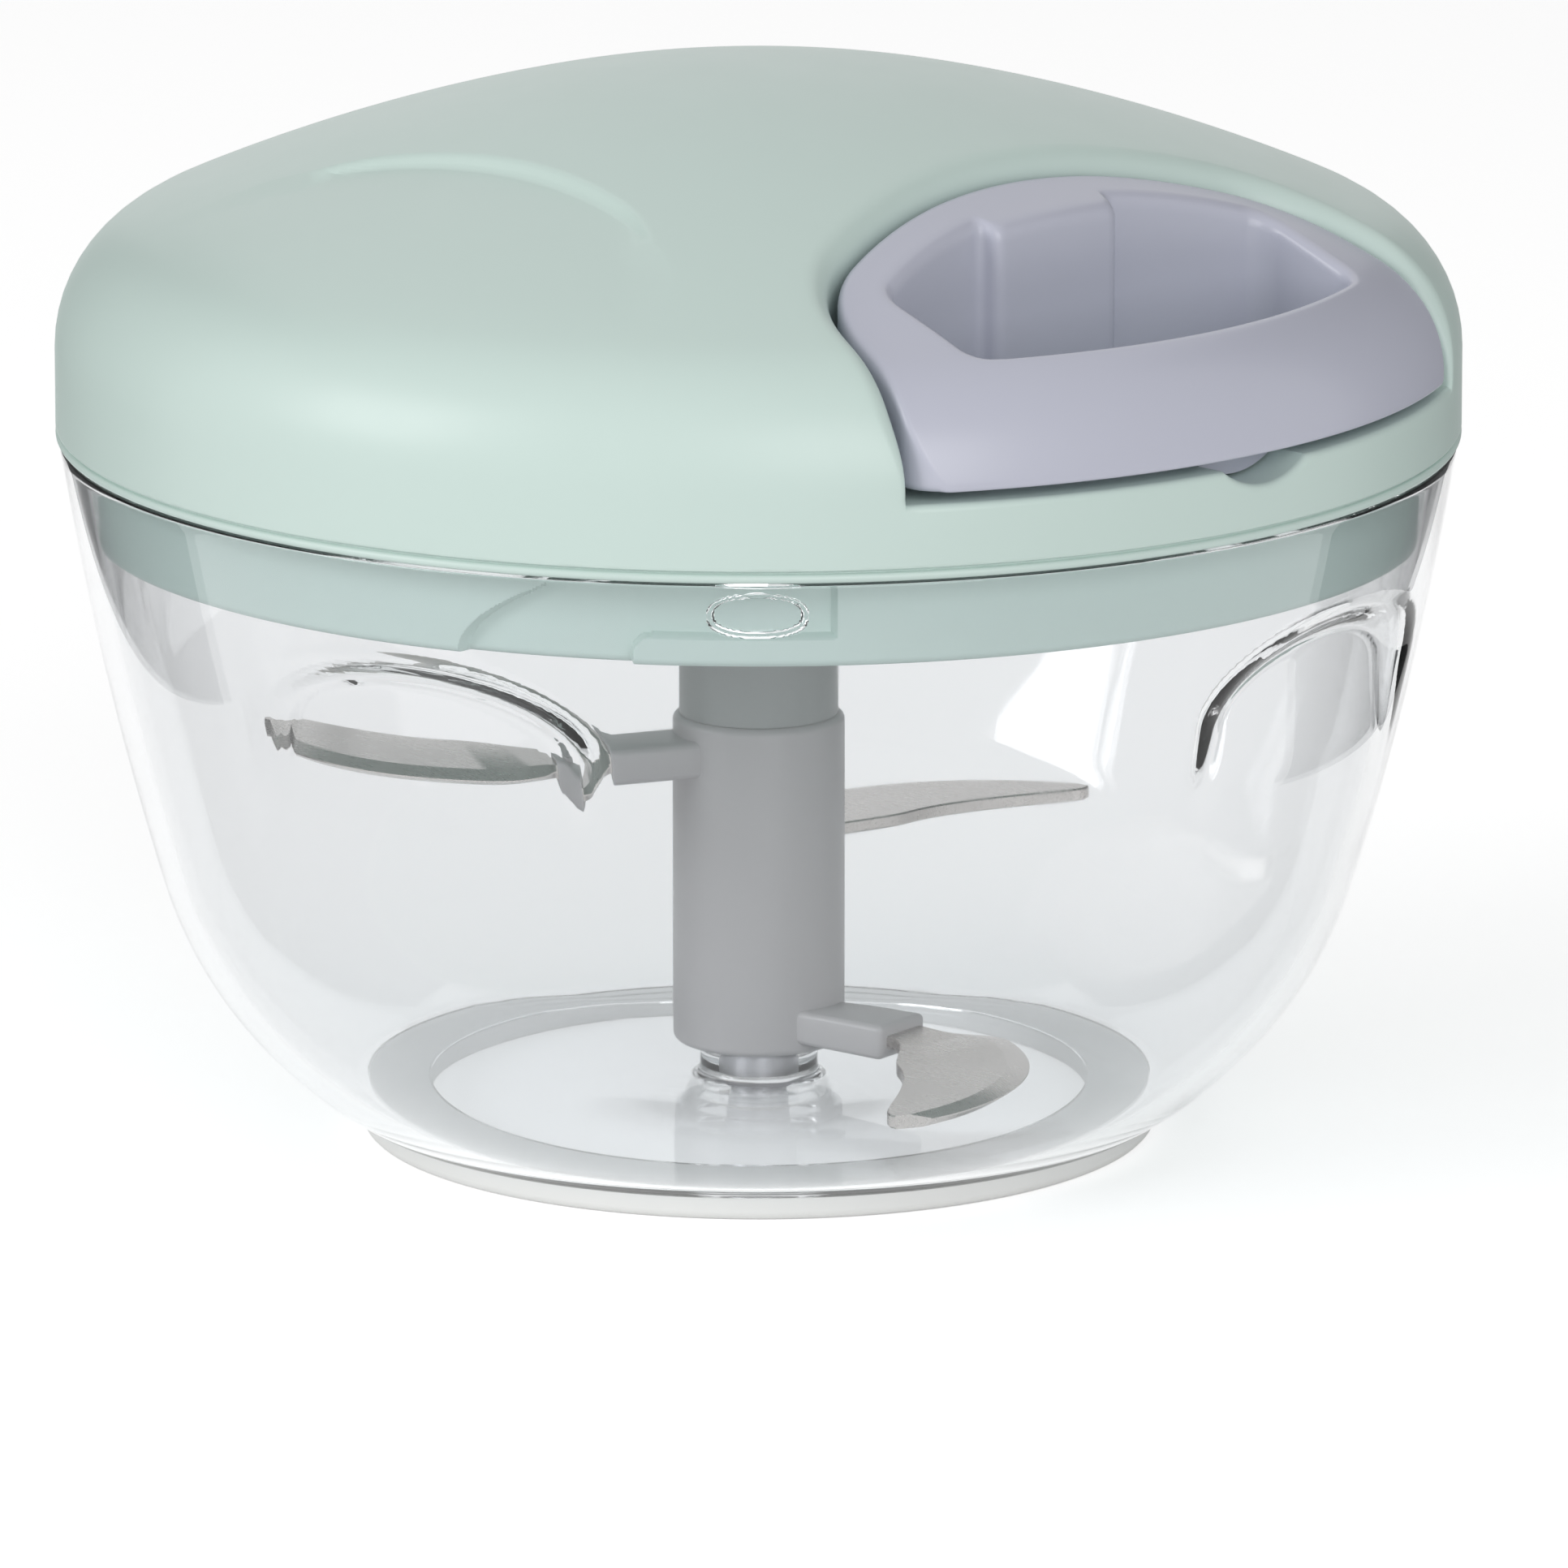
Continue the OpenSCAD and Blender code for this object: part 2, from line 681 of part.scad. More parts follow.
module drive_bush() {
  color([0.9, 0.88, 0.8])
    difference() {
      union() {
        translate([0, 0, bush_z])
          cylinder(h = plate_top - bush_z, r = bush_r);
        translate([0, 0, plate_top])
          cylinder(h = bush_flange_t, r = bearing_r);
      }
      translate([0, 0, bush_z - cut_over])
        cylinder(h = bush_h + plate_t + bush_flange_t + 2 * cut_over, r = coupler_r + run_gap);
    }
}

module cover_screws() {
  color([0.7, 0.7, 0.72])
    at_screws()
      screw(screw_l);
}

module cord_eyelet() {
  color([0.85, 0.85, 0.86])
    translate([bay_inner_face, 0, cord_z])
      rotate([0, 90, 0])
        difference() {
          union() {
            cylinder(h = bay_wall, r = eyelet_r);
            translate([0, 0, -eyelet_flange_t])
              cylinder(h = eyelet_flange_t, r = eyelet_flange_r);
          }
          translate([0, 0, -cut_over - eyelet_flange_t])
            cylinder(h = bay_wall + eyelet_flange_t + 2 * cut_over, r = guide_r);
          translate([0, 0, -eyelet_flange_t])
            cylinder(h = eyelet_flange_t, r1 = eyelet_r, r2 = guide_r);
        }
}

module reel_washer() {
  color([0.72, 0.72, 0.74])
    translate([0, 0, journal_foot - washer_t])
      difference() {
        cylinder(h = washer_t, r = washer_r);
        translate([0, 0, -cut_over])
          cylinder(h = washer_t + 2 * cut_over, r = pilot_r);
      }
}

module reel_screw() {
  color([0.7, 0.7, 0.72])
    translate([0, 0, journal_foot - washer_t])
      screw(reel_screw_l);
}

module recoil_spring() {
  outer = spiral(1);
  inner = spiral(-1);
  color([0.55, 0.58, 0.62])
    translate([0, 0, hub_top + air_gap])
      linear_extrude(reel_top - hub_top - 2 * air_gap)
        polygon(concat(outer, [for (i = [len(inner) - 1:-1:0]) inner[i]]));
}

// Round cord along the route, with one ring of points at each place
module pull_cord() {
  n = len(cord_route);
  sides = [for (i = [0:n - 1]) unit(cord_route[min(i + 1, n - 1)] - cord_route[max(i - 1, 0)])];
  rings = [for (i = [0:n - 1], k = [0:cord_sides - 1])
    let (a = 360 * k / cord_sides, p = cord_route[i], d = sides[i])
    [p.x - d.y * cord_r * cos(a), p.y + d.x * cord_r * cos(a), cord_z + cord_r * sin(a)]];
  walls = [for (i = [0:n - 2], k = [0:cord_sides - 1])
    let (m = i * cord_sides, j = (k + 1) % cord_sides)
    [m + k, m + j, m + cord_sides + j, m + cord_sides + k]];
  first = [for (k = [cord_sides - 1:-1:0]) k];
  last = [for (k = [0:cord_sides - 1]) (n - 1) * cord_sides + k];
  color([0.93, 0.93, 0.92])
    polyhedron(rings, concat(walls, [first, last]));
}

module cord_reel() {
  color([0.9, 0.9, 0.9])
    difference() {
      union() {
        translate([0, 0, reel_z])
          cylinder(h = flange_t, d = flange_d);
        translate([0, 0, reel_z])
          cylinder(h = reel_top - reel_z, r = drum_r);
        translate([0, 0, reel_top - cap_t])
          cylinder(h = cap_t, d = flange_d);
        for (i = [0:2])
          rotate([0, 0, i * 120])
            translate([pawl_r, 0, pawl_z])
              cylinder(h = reel_z - pawl_z + cut_over, r = pawl_pin_r);
      }
      translate([0, 0, reel_z - cut_over])
        cylinder(h = hub_h + 2 * cut_over, r = journal_r + run_gap);
      translate([0, 0, hub_top])
        cylinder(h = reel_top - hub_top + cut_over, r = cavity_r);
    }
}

module spring_cap() {
  color([0.88, 0.88, 0.89])
    translate([0, 0, reel_top])
      difference() {
        cylinder(h = cap_t, r = drum_r);
        translate([0, 0, -cut_over])
          cylinder(h = cap_t + 2 * cut_over, r = arbor_r + run_gap);
      }
}

module cord_windings() {
  color([0.93, 0.93, 0.92])
    rotate_extrude()
      translate([drum_r + press_gap, reel_z + flange_t + press_gap])
        square([winding_r - drum_r - press_gap, cord_space - 2 * press_gap]);
}

// One pawl, turned to its pin
module pawl(i) {
  tip = pawl_tip_r * [cos(pawl_angle), sin(pawl_angle)];
  heel = tip - pawl_nose * [cos(pawl_angle - rake_angle), sin(pawl_angle - rake_angle)];
  cheek = pawl_eye_r * cos(pawl_angle + tooth_angle);
  color([0.72, 0.74, 0.76])
    rotate([0, 0, i * 120])
      translate([0, 0, pawl_z])
        difference() {
          union() {
            translate([pawl_r, 0, 0])
              cylinder(h = pawl_t, r = pawl_eye_r);
            linear_extrude(pawl_t)
              polygon([[pawl_r + cheek, 0], tip, heel, [pawl_r - cheek, 0]]);
          }
          translate([pawl_r, 0, -cut_over])
            cylinder(h = pawl_t + 2 * cut_over, r = pawl_pin_r + run_gap);
        }
}

module pawl_1() {
  pawl(0);
}

module pawl_2() {
  pawl(1);
}

module pawl_3() {
  pawl(2);
}

module drive_coupler() {
  root_r = ratchet_r + ratchet_depth;
  teeth = [for (i = [0:ratchet_n - 1])
    let (a = pawl_angle + tooth_angle + i * tooth_step)
    each [root_r * [cos(a), sin(a)], ratchet_r * [cos(a + 0.5), sin(a + 0.5)],
      (root_r + ratchet_r) / 2 * [cos(a + tooth_step / 2), sin(a + tooth_step / 2)]]];
  color([0.86, 0.87, 0.88]) {
    difference() {
      union() {
        translate([0, 0, cup_z])
          cylinder(h = cup_h, r = cup_r);
        translate([0, 0, journal_end])
          cylinder(h = cup_z - journal_end + cut_over, r = coupler_r);
        translate([0, 0, journal_end - hex_l])
          cylinder(h = hex_l + cut_over, r = hex_r, $fn = 6);
      }
      translate([0, 0, cup_z + cup_floor_t])
        linear_extrude(cup_h)
          polygon(teeth);
      translate([0, 0, clip_z - press_gap])
        difference() {
          cylinder(h = clip_t + 2 * press_gap, r = coupler_r + cut_over);
          translate([0, 0, -cut_over])
            cylinder(h = clip_t + 3 * cut_over, r = clip_seat_r);
        }
    }
  }
}

module drive_clip() {
  color([0.7, 0.7, 0.72])
    translate([0, 0, clip_z])
      difference() {
        cylinder(h = clip_t, r = clip_r);
        translate([0, 0, -cut_over])
          cylinder(h = clip_t + 2 * cut_over, r = clip_seat_r + press_gap);
        translate([0, -clip_seat_r / 2, -cut_over])
          cube([clip_r + cut_over, clip_seat_r, clip_t + 2 * cut_over]);
      }
}

module blade_shaft() {
  color([0.67, 0.66, 0.66])
    difference() {
      union() {
        translate([0, 0, shaft_foot])
          cylinder(h = shaft_top - shaft_foot, r = shaft_r);
        for (i = [0:2])
          at_blade(i)
            translate([0, -arm_w / 2, -arm_t / 2])
              cube([arm_l, arm_w, arm_t]);
      }
      translate([0, 0, shaft_foot - cut_over])
        cylinder(h = shaft_bore_top - shaft_foot + cut_over, r = bush_out_r + press_gap);
      for (i = [0:2])
        at_blade(i)
          translate([blade_root_r - press_gap, -tang_w / 2 - press_gap, -blade_t / 2 - press_gap])
            cube([arm_l, tang_w + 2 * press_gap, blade_t + 2 * press_gap]);
    }
}

module shaft_collar() {
  color([0.55, 0.56, 0.56])
    translate([0, 0, shaft_top])
      difference() {
        cylinder(h = collar_l, d = collar_d);
        translate([0, 0, cut_over])
          cylinder(h = collar_l, r = hex_r + hex_gap, $fn = 6);
      }
}

module shaft_bush() {
  color([0.9, 0.88, 0.8])
    translate([0, 0, shaft_foot])
      difference() {
        cylinder(h = pin_top - shaft_foot, r = bush_out_r);
        translate([0, 0, -cut_over])
          cylinder(h = pin_top - shaft_foot + 2 * cut_over, r = bush_in_r);
      }
}

// Place of blade number i from below, along X from the shaft axis
module at_blade(i) {
  rotate([0, 0, blade_angle + (i - 2) * 120])
    translate([0, 0, blade_low_z + i * blade_step])
      children();
}

// Blade number i from below
module blade_at(i) {
  tip_r = i == 0 ? blade_low_r : blade_r;
  at_blade(i)
    translate([0, 0, -blade_t / 2])
      linear_extrude(blade_t)
        polygon(blade_outline(tip_r));
}

module blade_upper() {
  color([0.7, 0.68, 0.67])
    blade_at(2);
}

module blade_middle() {
  color([0.7, 0.68, 0.67])
    blade_at(1);
}

module blade_lower() {
  color([0.7, 0.68, 0.67])
    blade_at(0);
}

// Finger hole with the cord boss standing in it
module finger_hole() {
  arc_half = asin(finger_half / finger_arc_r);
  grip_half = asin(finger_half / grip_r);
  boss_half = boss_w / 2;
  bar_x = bay_arc_c.x - sqrt(finger_arc_r * finger_arc_r - boss_half * boss_half);
  inner_end = bay_arc_c + finger_arc_r * [-cos(arc_half), sin(arc_half)];
  grip_end = grip_r * [cos(grip_half), sin(grip_half)];
  grip_line = [for (i = [-3:3]) grip_r * [cos(grip_half * i / 4), sin(grip_half * i / 4)]];
  polygon(rounded(concat(
    [[grip_end.x, -grip_end.y, finger_r]],
    [for (p = grip_line) [p.x, p.y, 0]],
    [[grip_end.x, grip_end.y, finger_r], [inner_end.x, inner_end.y, finger_r]],
    [[bar_x, boss_half, 0], [boss_face, boss_half, 1], [boss_face, -boss_half, 1], [bar_x, -boss_half, 0]],
    [[inner_end.x, -inner_end.y, finger_r]]
  )));
}

module pull_handle() {
  color([0.72, 0.73, 0.78])
    difference() {
      union() {
        intersection() {
          translate([0, 0, handle_z])
            linear_extrude(top_z - handle_z)
              difference() {
                polygon(bay_outline(-handle_gap));
                finger_hole();
              }
          translate([0, 0, -handle_drop])
            dome_solid(0, seam_z);
        }
        intersection() {
          translate([grip_r + cut_over, 0, tab_z])
            rotate([0, 90, 0])
              cylinder(h = handle_grip - tab_step - cut_over, r = tab_r);
          translate([grip_r, -tab_r, bay_floor_z - tab_depth - cut_over])
            cube([handle_grip, 2 * tab_r, handle_z - bay_floor_z + tab_depth + 2 * cut_over]);
        }
      }
      translate([handle_back - cut_over, 0, cord_z])
        rotate([0, 90, 0])
          cylinder(h = knot_seat - handle_back + 2 * cut_over, r = guide_r);
      translate([knot_seat, -knot_pocket_r, handle_z - cut_over])
        cube([2 * knot_pocket_r, 2 * knot_pocket_r, cord_z + knot_pocket_r - handle_z + cut_over]);
    }
}

module cord_knot() {
  color([0.93, 0.93, 0.92])
    translate([knot_x, 0, cord_z])
      sphere(r = knot_r);
}

bowl();
foot_ring();
centre_pin();
lid_cover();
lid_base();
drive_bush();
cover_screws();
cord_eyelet();
reel_washer();
reel_screw();
recoil_spring();
pull_cord();
cord_reel();
spring_cap();
cord_windings();
pawl_1();
pawl_2();
pawl_3();
drive_coupler();
drive_clip();
blade_shaft();
shaft_collar();
shaft_bush();
blade_upper();
blade_middle();
blade_lower();
pull_handle();
cord_knot();
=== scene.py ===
"""Pull-string food chopper, dressed round its packed solids.

The property groups hold the sizes and colours, each operator makes one piece
or a group of like pieces, and main() calls the operators in order.
"""

import math
from types import SimpleNamespace

import bmesh
import bpy
import numpy as np
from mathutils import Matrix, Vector
from mathutils.geometry import delaunay_2d_cdt


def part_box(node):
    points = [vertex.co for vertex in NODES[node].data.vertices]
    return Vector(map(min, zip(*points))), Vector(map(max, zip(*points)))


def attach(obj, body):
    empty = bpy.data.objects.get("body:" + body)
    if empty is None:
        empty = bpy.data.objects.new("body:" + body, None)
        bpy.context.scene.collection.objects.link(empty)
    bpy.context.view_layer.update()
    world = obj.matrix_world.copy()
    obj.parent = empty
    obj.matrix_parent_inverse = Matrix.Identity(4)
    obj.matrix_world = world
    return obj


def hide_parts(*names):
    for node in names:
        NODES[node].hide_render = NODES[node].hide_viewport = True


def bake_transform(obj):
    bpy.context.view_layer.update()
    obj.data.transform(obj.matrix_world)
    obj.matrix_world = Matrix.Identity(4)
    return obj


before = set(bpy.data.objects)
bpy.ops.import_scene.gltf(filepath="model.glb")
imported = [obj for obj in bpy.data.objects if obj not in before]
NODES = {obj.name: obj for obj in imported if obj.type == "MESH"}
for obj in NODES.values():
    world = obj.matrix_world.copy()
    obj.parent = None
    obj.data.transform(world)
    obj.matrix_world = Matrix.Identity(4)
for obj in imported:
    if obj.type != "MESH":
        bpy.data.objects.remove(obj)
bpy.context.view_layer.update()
MM = 0.001
TAU = 2 * math.pi

bl_info = {
    "name": "Pull-string food chopper",
    "version": (1, 0, 0),
    "blender": (4, 5, 0),
    "location": "View3D > Sidebar > Chopper",
    "description": "Builds the visual pieces of a pull-string food chopper round its packed solids",
    "category": "Object",
}


def length(name, description, mm):
    """Length property with its default in millimetres."""
    return bpy.props.FloatProperty(
        name=name, description=description, default=mm * MM, unit="LENGTH", precision=5
    )


def angle(name, description, degrees):
    """Angle property with its default in degrees."""
    return bpy.props.FloatProperty(
        name=name, description=description, default=math.radians(degrees), subtype="ANGLE"
    )


def colour(name, description, rgb):
    """Colour property whose default is given as eight-bit screen values."""
    linear = [((c / 255 + 0.055) / 1.055) ** 2.4 for c in rgb]
    return bpy.props.FloatVectorProperty(
        name=name, description=description, default=linear, subtype="COLOR", size=3, min=0, max=1
    )


def share(name, description, value):
    """Property between nought and one."""
    return bpy.props.FloatProperty(
        name=name, description=description, default=value, subtype="FACTOR", min=0, max=1
    )


def power(name, description, watts):
    """Power property of a lamp."""
    return bpy.props.FloatProperty(name=name, description=description, default=watts, unit="POWER", min=0)


class ChopperLid(bpy.types.PropertyGroup):
    """Sizes of the domed lid."""

    radius: length("Radius", "Outside radius of the lid", 65)
    seam_z: length("Seam height", "Height of the seam above the table", 66)
    band_h: length("Band", "Height of the straight band of the lid", 8.4)
    dome_rise: length("Dome rise", "Rise of the dome above the band", 25.6)
    shoulder_r: length("Shoulder", "Radius of the rounded shoulder", 12.9)
    crown_slope: angle("Crown slope", "Slope at the edge of the crown", 14)
    shoulder_slope: angle("Shoulder slope", "Slope at the start of the shoulder", 24)
    wall: length("Wall", "Wall of the lid cover", 2.6)
    scoop_drop: length("Scoop drop", "Drop of the thumb scoop's surface below the dome", 1.9)
    scoop_out: length("Scoop spread", "Spread of that surface at the wall, which lets the scoop run out", 6)
    scoop_fold: length("Scoop fold", "Width of the fold at the edge of the scoop", 1.2)
    scoop_turn: angle("Scoop place", "Polar angle of the scoop", -90)
    bead_r: length("Bead", "Radius of the bead along the lower edge", 0.42)
    groove: length("Groove", "Depth of the groove above that bead", 0.5)
    arbor_r: length("Arbor", "Radius of the arbor's shoulder inside the lid", 5)
    arbor_z: length("Arbor foot", "Height of the foot of that shoulder", 78.9)
    journal_r: length("Journal", "Radius of the arbor's journal that the reel turns on", 4)
    journal_z: length("Journal foot", "Height of the foot of the journal", 75.3)
    post_r: length("Screw post", "Radius of the screw posts", 3.45)


class ChopperBay(bpy.types.PropertyGroup):
    """Sizes of the bay in the lid that takes the handle."""

    inner_x: length("Inner wall", "Distance of the inner wall from the lid axis", 30.5)
    arc_r: length("Inner radius", "Radius of the inner wall in plan", 68.6)
    mouth_w: length("Mouth", "Width of the bay at the wall of the lid", 71)
    flare: angle("Flare", "Angle at which the ends of the bay flare", 15)
    corner_r: length("Corner", "Radius of the inner corners in plan", 14)
    floor_h: length("Floor", "Height of the bay floor above the seam", 6.8)
    wall: length("Wall", "Wall of the bay inside the lid", 1.8)
    roll_r: length("Rolled edge", "Rounding of the upper edge of the bay", 2.2)
    sill_r: length("Sill edge", "Rounding of the floor's outer edge", 0.7)


class ChopperHandle(bpy.types.PropertyGroup):
    """Sizes of the pull handle."""

    gap: length("Gap", "Gap between the handle and the walls of the bay", 0.8)
    lift: length("Lift", "Gap between the handle and the bay floor", 1)
    drop: length("Drop", "Depth of the handle's top below the dome", 1.5)
    bar: length("Bar", "Thickness of the inner bar", 4.7)
    grip: length("Grip", "Depth of the outer grip", 7.3)
    finger_w: length("Finger hole", "Width of the finger hole", 49)
    finger_r: length("Hole corner", "Corner radius of the finger hole", 3)
    end_r: length("End corner", "Rounding of the outer ends in plan", 4)
    boss_w: length("Boss width", "Width of the cord boss", 16)
    boss_reach: length("Boss reach", "Reach of the cord boss into the finger hole", 2.6)
    boss_edge: length("Boss edge", "Rounding of the cord boss's edges in plan", 1.2)
    boss_root: length("Boss root", "Rounding at the root of the cord boss", 0.8)
    edge_r: length("Outer edge", "Rounding of the upper outer edge", 1.3)
    hole_edge_r: length("Hole edge", "Rounding of the upper edge of the finger hole", 1.5)
    foot_edge_r: length("Lower edge", "Rounding of the lower edges", 0.8)
    tab_r: length("Tab", "Radius of the curve under the locating tab", 8.6)
    tab_depth: length("Tab depth", "Depth of the locating tab below the bay floor", 1.5)
    tab_step: length("Tab step", "Distance of the tab's face inside the lid's wall", 4.4)
    tab_gap: length("Tab gap", "Gap between the tab and its notch", 0.3)


class ChopperBowl(bpy.types.PropertyGroup):
    """Sizes of the clear bowl and its foot."""

    foot_r: length("Foot", "Outside radius of the foot ring", 37)
    foot_w: length("Foot width", "Width of the foot ring", 6)
    foot_h: length("Foot height", "Height of the bowl's underside above the table", 2.4)
    groove: length("Groove", "Depth of the groove that holds the foot ring", 0.6)
    foot_gap: length("Foot gap", "Gap between the foot ring and its groove", 0.08)
    edge_out: length("Base edge", "Step from the foot ring out to the base edge", 1.3)
    rim_in: length("Rim step", "Step of the rim inside the lid's wall", 0.3)
    rim_gap: length("Rim gap", "Gap between the rim and the seam", 0.25)
    rim_edge: length("Rim edge", "Rounding of the rim's outer edge", 0.22)
    rim_inner_edge: length("Rim inner edge", "Rounding of the rim's inner edge", 0.5)
    base_r: length("Base", "Radius of the round base", 38)
    base_lean: angle("Base lean", "Lean of the base at the foot", 59.5)
    wall_lean: angle("Wall lean", "Lean of the wall where it meets the base", 16.5)
    wall: length("Wall", "Wall of the bowl", 1.8)
    floor_t: length("Floor", "Thickness of the floor", 1.8)
    scallop_z: length("Scallop top", "Height of the top of a finger scallop", 55.2)
    scallop_w: length("Scallop width", "Width of a finger scallop", 33)
    scallop_round: length("Scallop round", "Height of the round top of a finger scallop", 7)
    scallop_leg: length("Scallop legs", "Height of the straight sides of a finger scallop", 17)
    scallop_at: angle("Scallop place", "Polar angle of the first of the four scallops", 13.8)
    scallop_depth: length("Scallop depth", "Depth of a scallop at its top", 3)
    scallop_edge: length("Scallop edge", "Width of the rounded edge of a scallop", 4.2)
    boss_r: length("Floor boss", "Radius of the boss that holds the pin", 5.5)
    boss_h: length("Boss height", "Height of that boss", 3)
    boss_root: length("Boss root", "Rounding at the root of that boss", 1)
    boss_edge: length("Boss edge", "Rounding of the upper edge of that boss", 0.6)
    floor_edge: length("Floor edge", "Rounding between the floor and the wall", 2)


class ChopperSkirt(bpy.types.PropertyGroup):
    """Sizes of the lid base: its skirt, bayonet and bearing."""

    radius: length("Skirt radius", "Outside radius of the skirt", 61.37)
    wall: length("Skirt wall", "Wall of the skirt", 2.4)
    height: length("Skirt height", "Height of the skirt below the seam", 8.2)
    plate_r: length("Plate radius", "Radius of the plate", 62.3)
    plate_t: length("Plate", "Thickness of the plate", 2)
    bearing_r: length("Bearing", "Outside radius of the bearing boss", 10.9)
    bore_r: length("Bore", "Radius of the bore for the drive bush", 8.32)
    bearing_h: length("Bearing height", "Height of the bearing boss below the seam", 7)
    track_depth: length("Track depth", "Depth of the bayonet tracks", 1.3)
    lug_w: length("Lug width", "Width of a bayonet lug", 8.4)
    lug_h: length("Lug height", "Height of a bayonet lug", 3.6)
    lug_edge: length("Lug edge", "Width of the rounded edge of a lug", 0.6)
    lug_drop: length("Lug drop", "Distance of a lug below the seam", 3.3)
    lug_gap: length("Lug gap", "Running gap round a lug", 0.3)
    lug_at: angle("Lug place", "Polar angle of the first lug", -45)
    lock_turn: angle("Lock turn", "Turn that locks the lid", 18)
    stop_gap: length("Stop gap", "Room between a locked lug and the end of its track", 2.7)
    entry_play: length("Entry play", "Width of a track's entry beyond its lug", 7.6)
    track_edge: length("Track edge", "Width of the rounded edge of a track", 0.5)
    lead_in: length("Lead-in", "Run of the curved lead-in of a track", 8.6)
    ledge_r: length("Ledge corner", "Rounding of the ledge under a lug", 1.9)


class ChopperShaft(bpy.types.PropertyGroup):
    """Sizes of the blade shaft and its collar."""

    radius: length("Shaft", "Radius of the shaft", 8)
    foot_z: length("Shaft foot", "Height of the foot of the shaft", 7.6)
    top_z: length("Shaft top", "Height of the top of the column", 39.4)
    bore_r: length("Bore", "Radius of the bore for the bush", 4.57)
    bore_top: length("Bore top", "Height of the top of that bore", 20.2)
    collar_r: length("Collar", "Radius of the collar", 7.4)
    collar_l: length("Collar length", "Length of the collar", 16.4)
    socket_r: length("Socket", "Corner radius of the hexagon socket", 4.9)
    edge_r: length("Edges", "Rounding of the edges", 0.7)
    arm_l: length("Arm length", "Length of an arm from the shaft axis", 17)
    arm_w: length("Arm width", "Width of an arm", 7)
    arm_t: length("Arm thickness", "Thickness of an arm", 3.4)


class ChopperBlades(bpy.types.PropertyGroup):
    """Sizes of the three sickle blades."""

    low_z: length("Lower blade", "Height of the lower blade", 10.4)
    step: length("Step", "Height between two blades", 12.8)
    tip_r: length("Tip", "Radius to the tip of the upper and middle blades", 47)
    low_tip_r: length("Lower tip", "Radius to the tip of the lower blade", 41)
    width: length("Width", "Width of a blade", 15)
    tang_w: length("Tang", "Width of the tang", 5)
    root_r: length("Root", "Radius where the tang starts", 5.15)
    thickness: length("Thickness", "Thickness of a blade", 1.2)
    bevel_w: length("Bevel", "Width of the ground bevel", 2.6)
    sweep: angle("Sweep", "Angle by which the tip trails the root", 32)
    turn: angle("Turn", "Polar angle of the upper blade", 247)


class ChopperCord(bpy.types.PropertyGroup):
    """Sizes of the pull cord."""

    radius: length("Cord", "Radius of the cord", 0.95)
    height: length("Height", "Height of the cord above the table", 81.1)
    eyelet_r: length("Eyelet", "Outside radius of the eyelet", 2.4)
    guide_r: length("Guide", "Radius of the eyelet's bore", 1.3)
    flange_r: length("Flange", "Radius of the eyelet's flange", 4)
    flange_t: length("Flange thickness", "Thickness of the eyelet's flange", 1)
    lip: length("Lip", "Reach of the eyelet's lip into the bay", 0.25)
    knot_r: length("Knot", "Radius of the knot", 1.8)
    knot_x: length("Knot place", "Distance of the knot from the lid axis", 34.2)


class ChopperScrews(bpy.types.PropertyGroup):
    """Sizes of the cover screws."""

    circle_r: length("Circle", "Radius of the circle that the screws stand on", 50)
    thread_r: length("Thread", "Outside radius of the thread", 1.45)
    core_r: length("Core", "Radius of the core", 1.15)
    pitch: length("Pitch", "Pitch of the thread", 0.95)
    flank_h: length("Flank", "Height of a flank of the thread", 0.25)
    root_h: length("Root", "Height of the thread's root", 0.2)
    point_h: length("Point", "Height of the point", 1.2)
    head_r: length("Head", "Radius of the head", 3)
    crown_r: length("Crown", "Radius of the flat of the head", 1.8)
    crown_h: length("Crown height", "Height of the rounded part of the head", 0.7)
    recess_l: length("Recess", "Length of the cross recess", 3)
    recess_w: length("Recess width", "Width of the cross recess", 0.62)
    recess_h: length("Recess height", "Height of the form that cuts the recess", 1.6)


class ChopperFinish(bpy.types.PropertyGroup):
    """Colours and gloss of the finishes."""

    lid_green: colour("Lid", "Mint green of the lid", (200, 218, 212))
    handle_lilac: colour("Handle", "Lilac grey of the handle", (190, 192, 206))
    bowl_clear: colour("Bowl", "Faint tint of the clear bowl", (245, 246, 247))
    foot_white: colour("Foot", "Off-white of the foot ring", (240, 240, 238))
    shaft_grey: colour("Shaft", "Grey of the blade shaft", (186, 184, 185))
    # Painted shade: the collar's grey is darker than the shaft's to stand in for the shade that the skirt and
    # lid cast on it.
    collar_grey: colour("Collar", "Darker grey of the collar", (158, 162, 161))
    blade_steel: colour("Blades", "Steel of the blades", (196, 192, 189))
    screw_steel: colour("Fasteners", "Zinc of the screws and clips", (184, 184, 188))
    spring_steel: colour("Spring", "Blued steel of the spring", (116, 122, 134))
    reel_white: colour("Reel", "White plastic of the reel", (228, 228, 228))
    bush_ivory: colour("Bushes", "Ivory plastic of the bushes", (230, 225, 205))
    cord_white: colour("Cord", "White of the braided cord", (237, 237, 234))
    lid_gloss: share("Lid roughness", "Roughness of the lid", 0.36)
    handle_gloss: share("Handle roughness", "Roughness of the handle", 0.30)


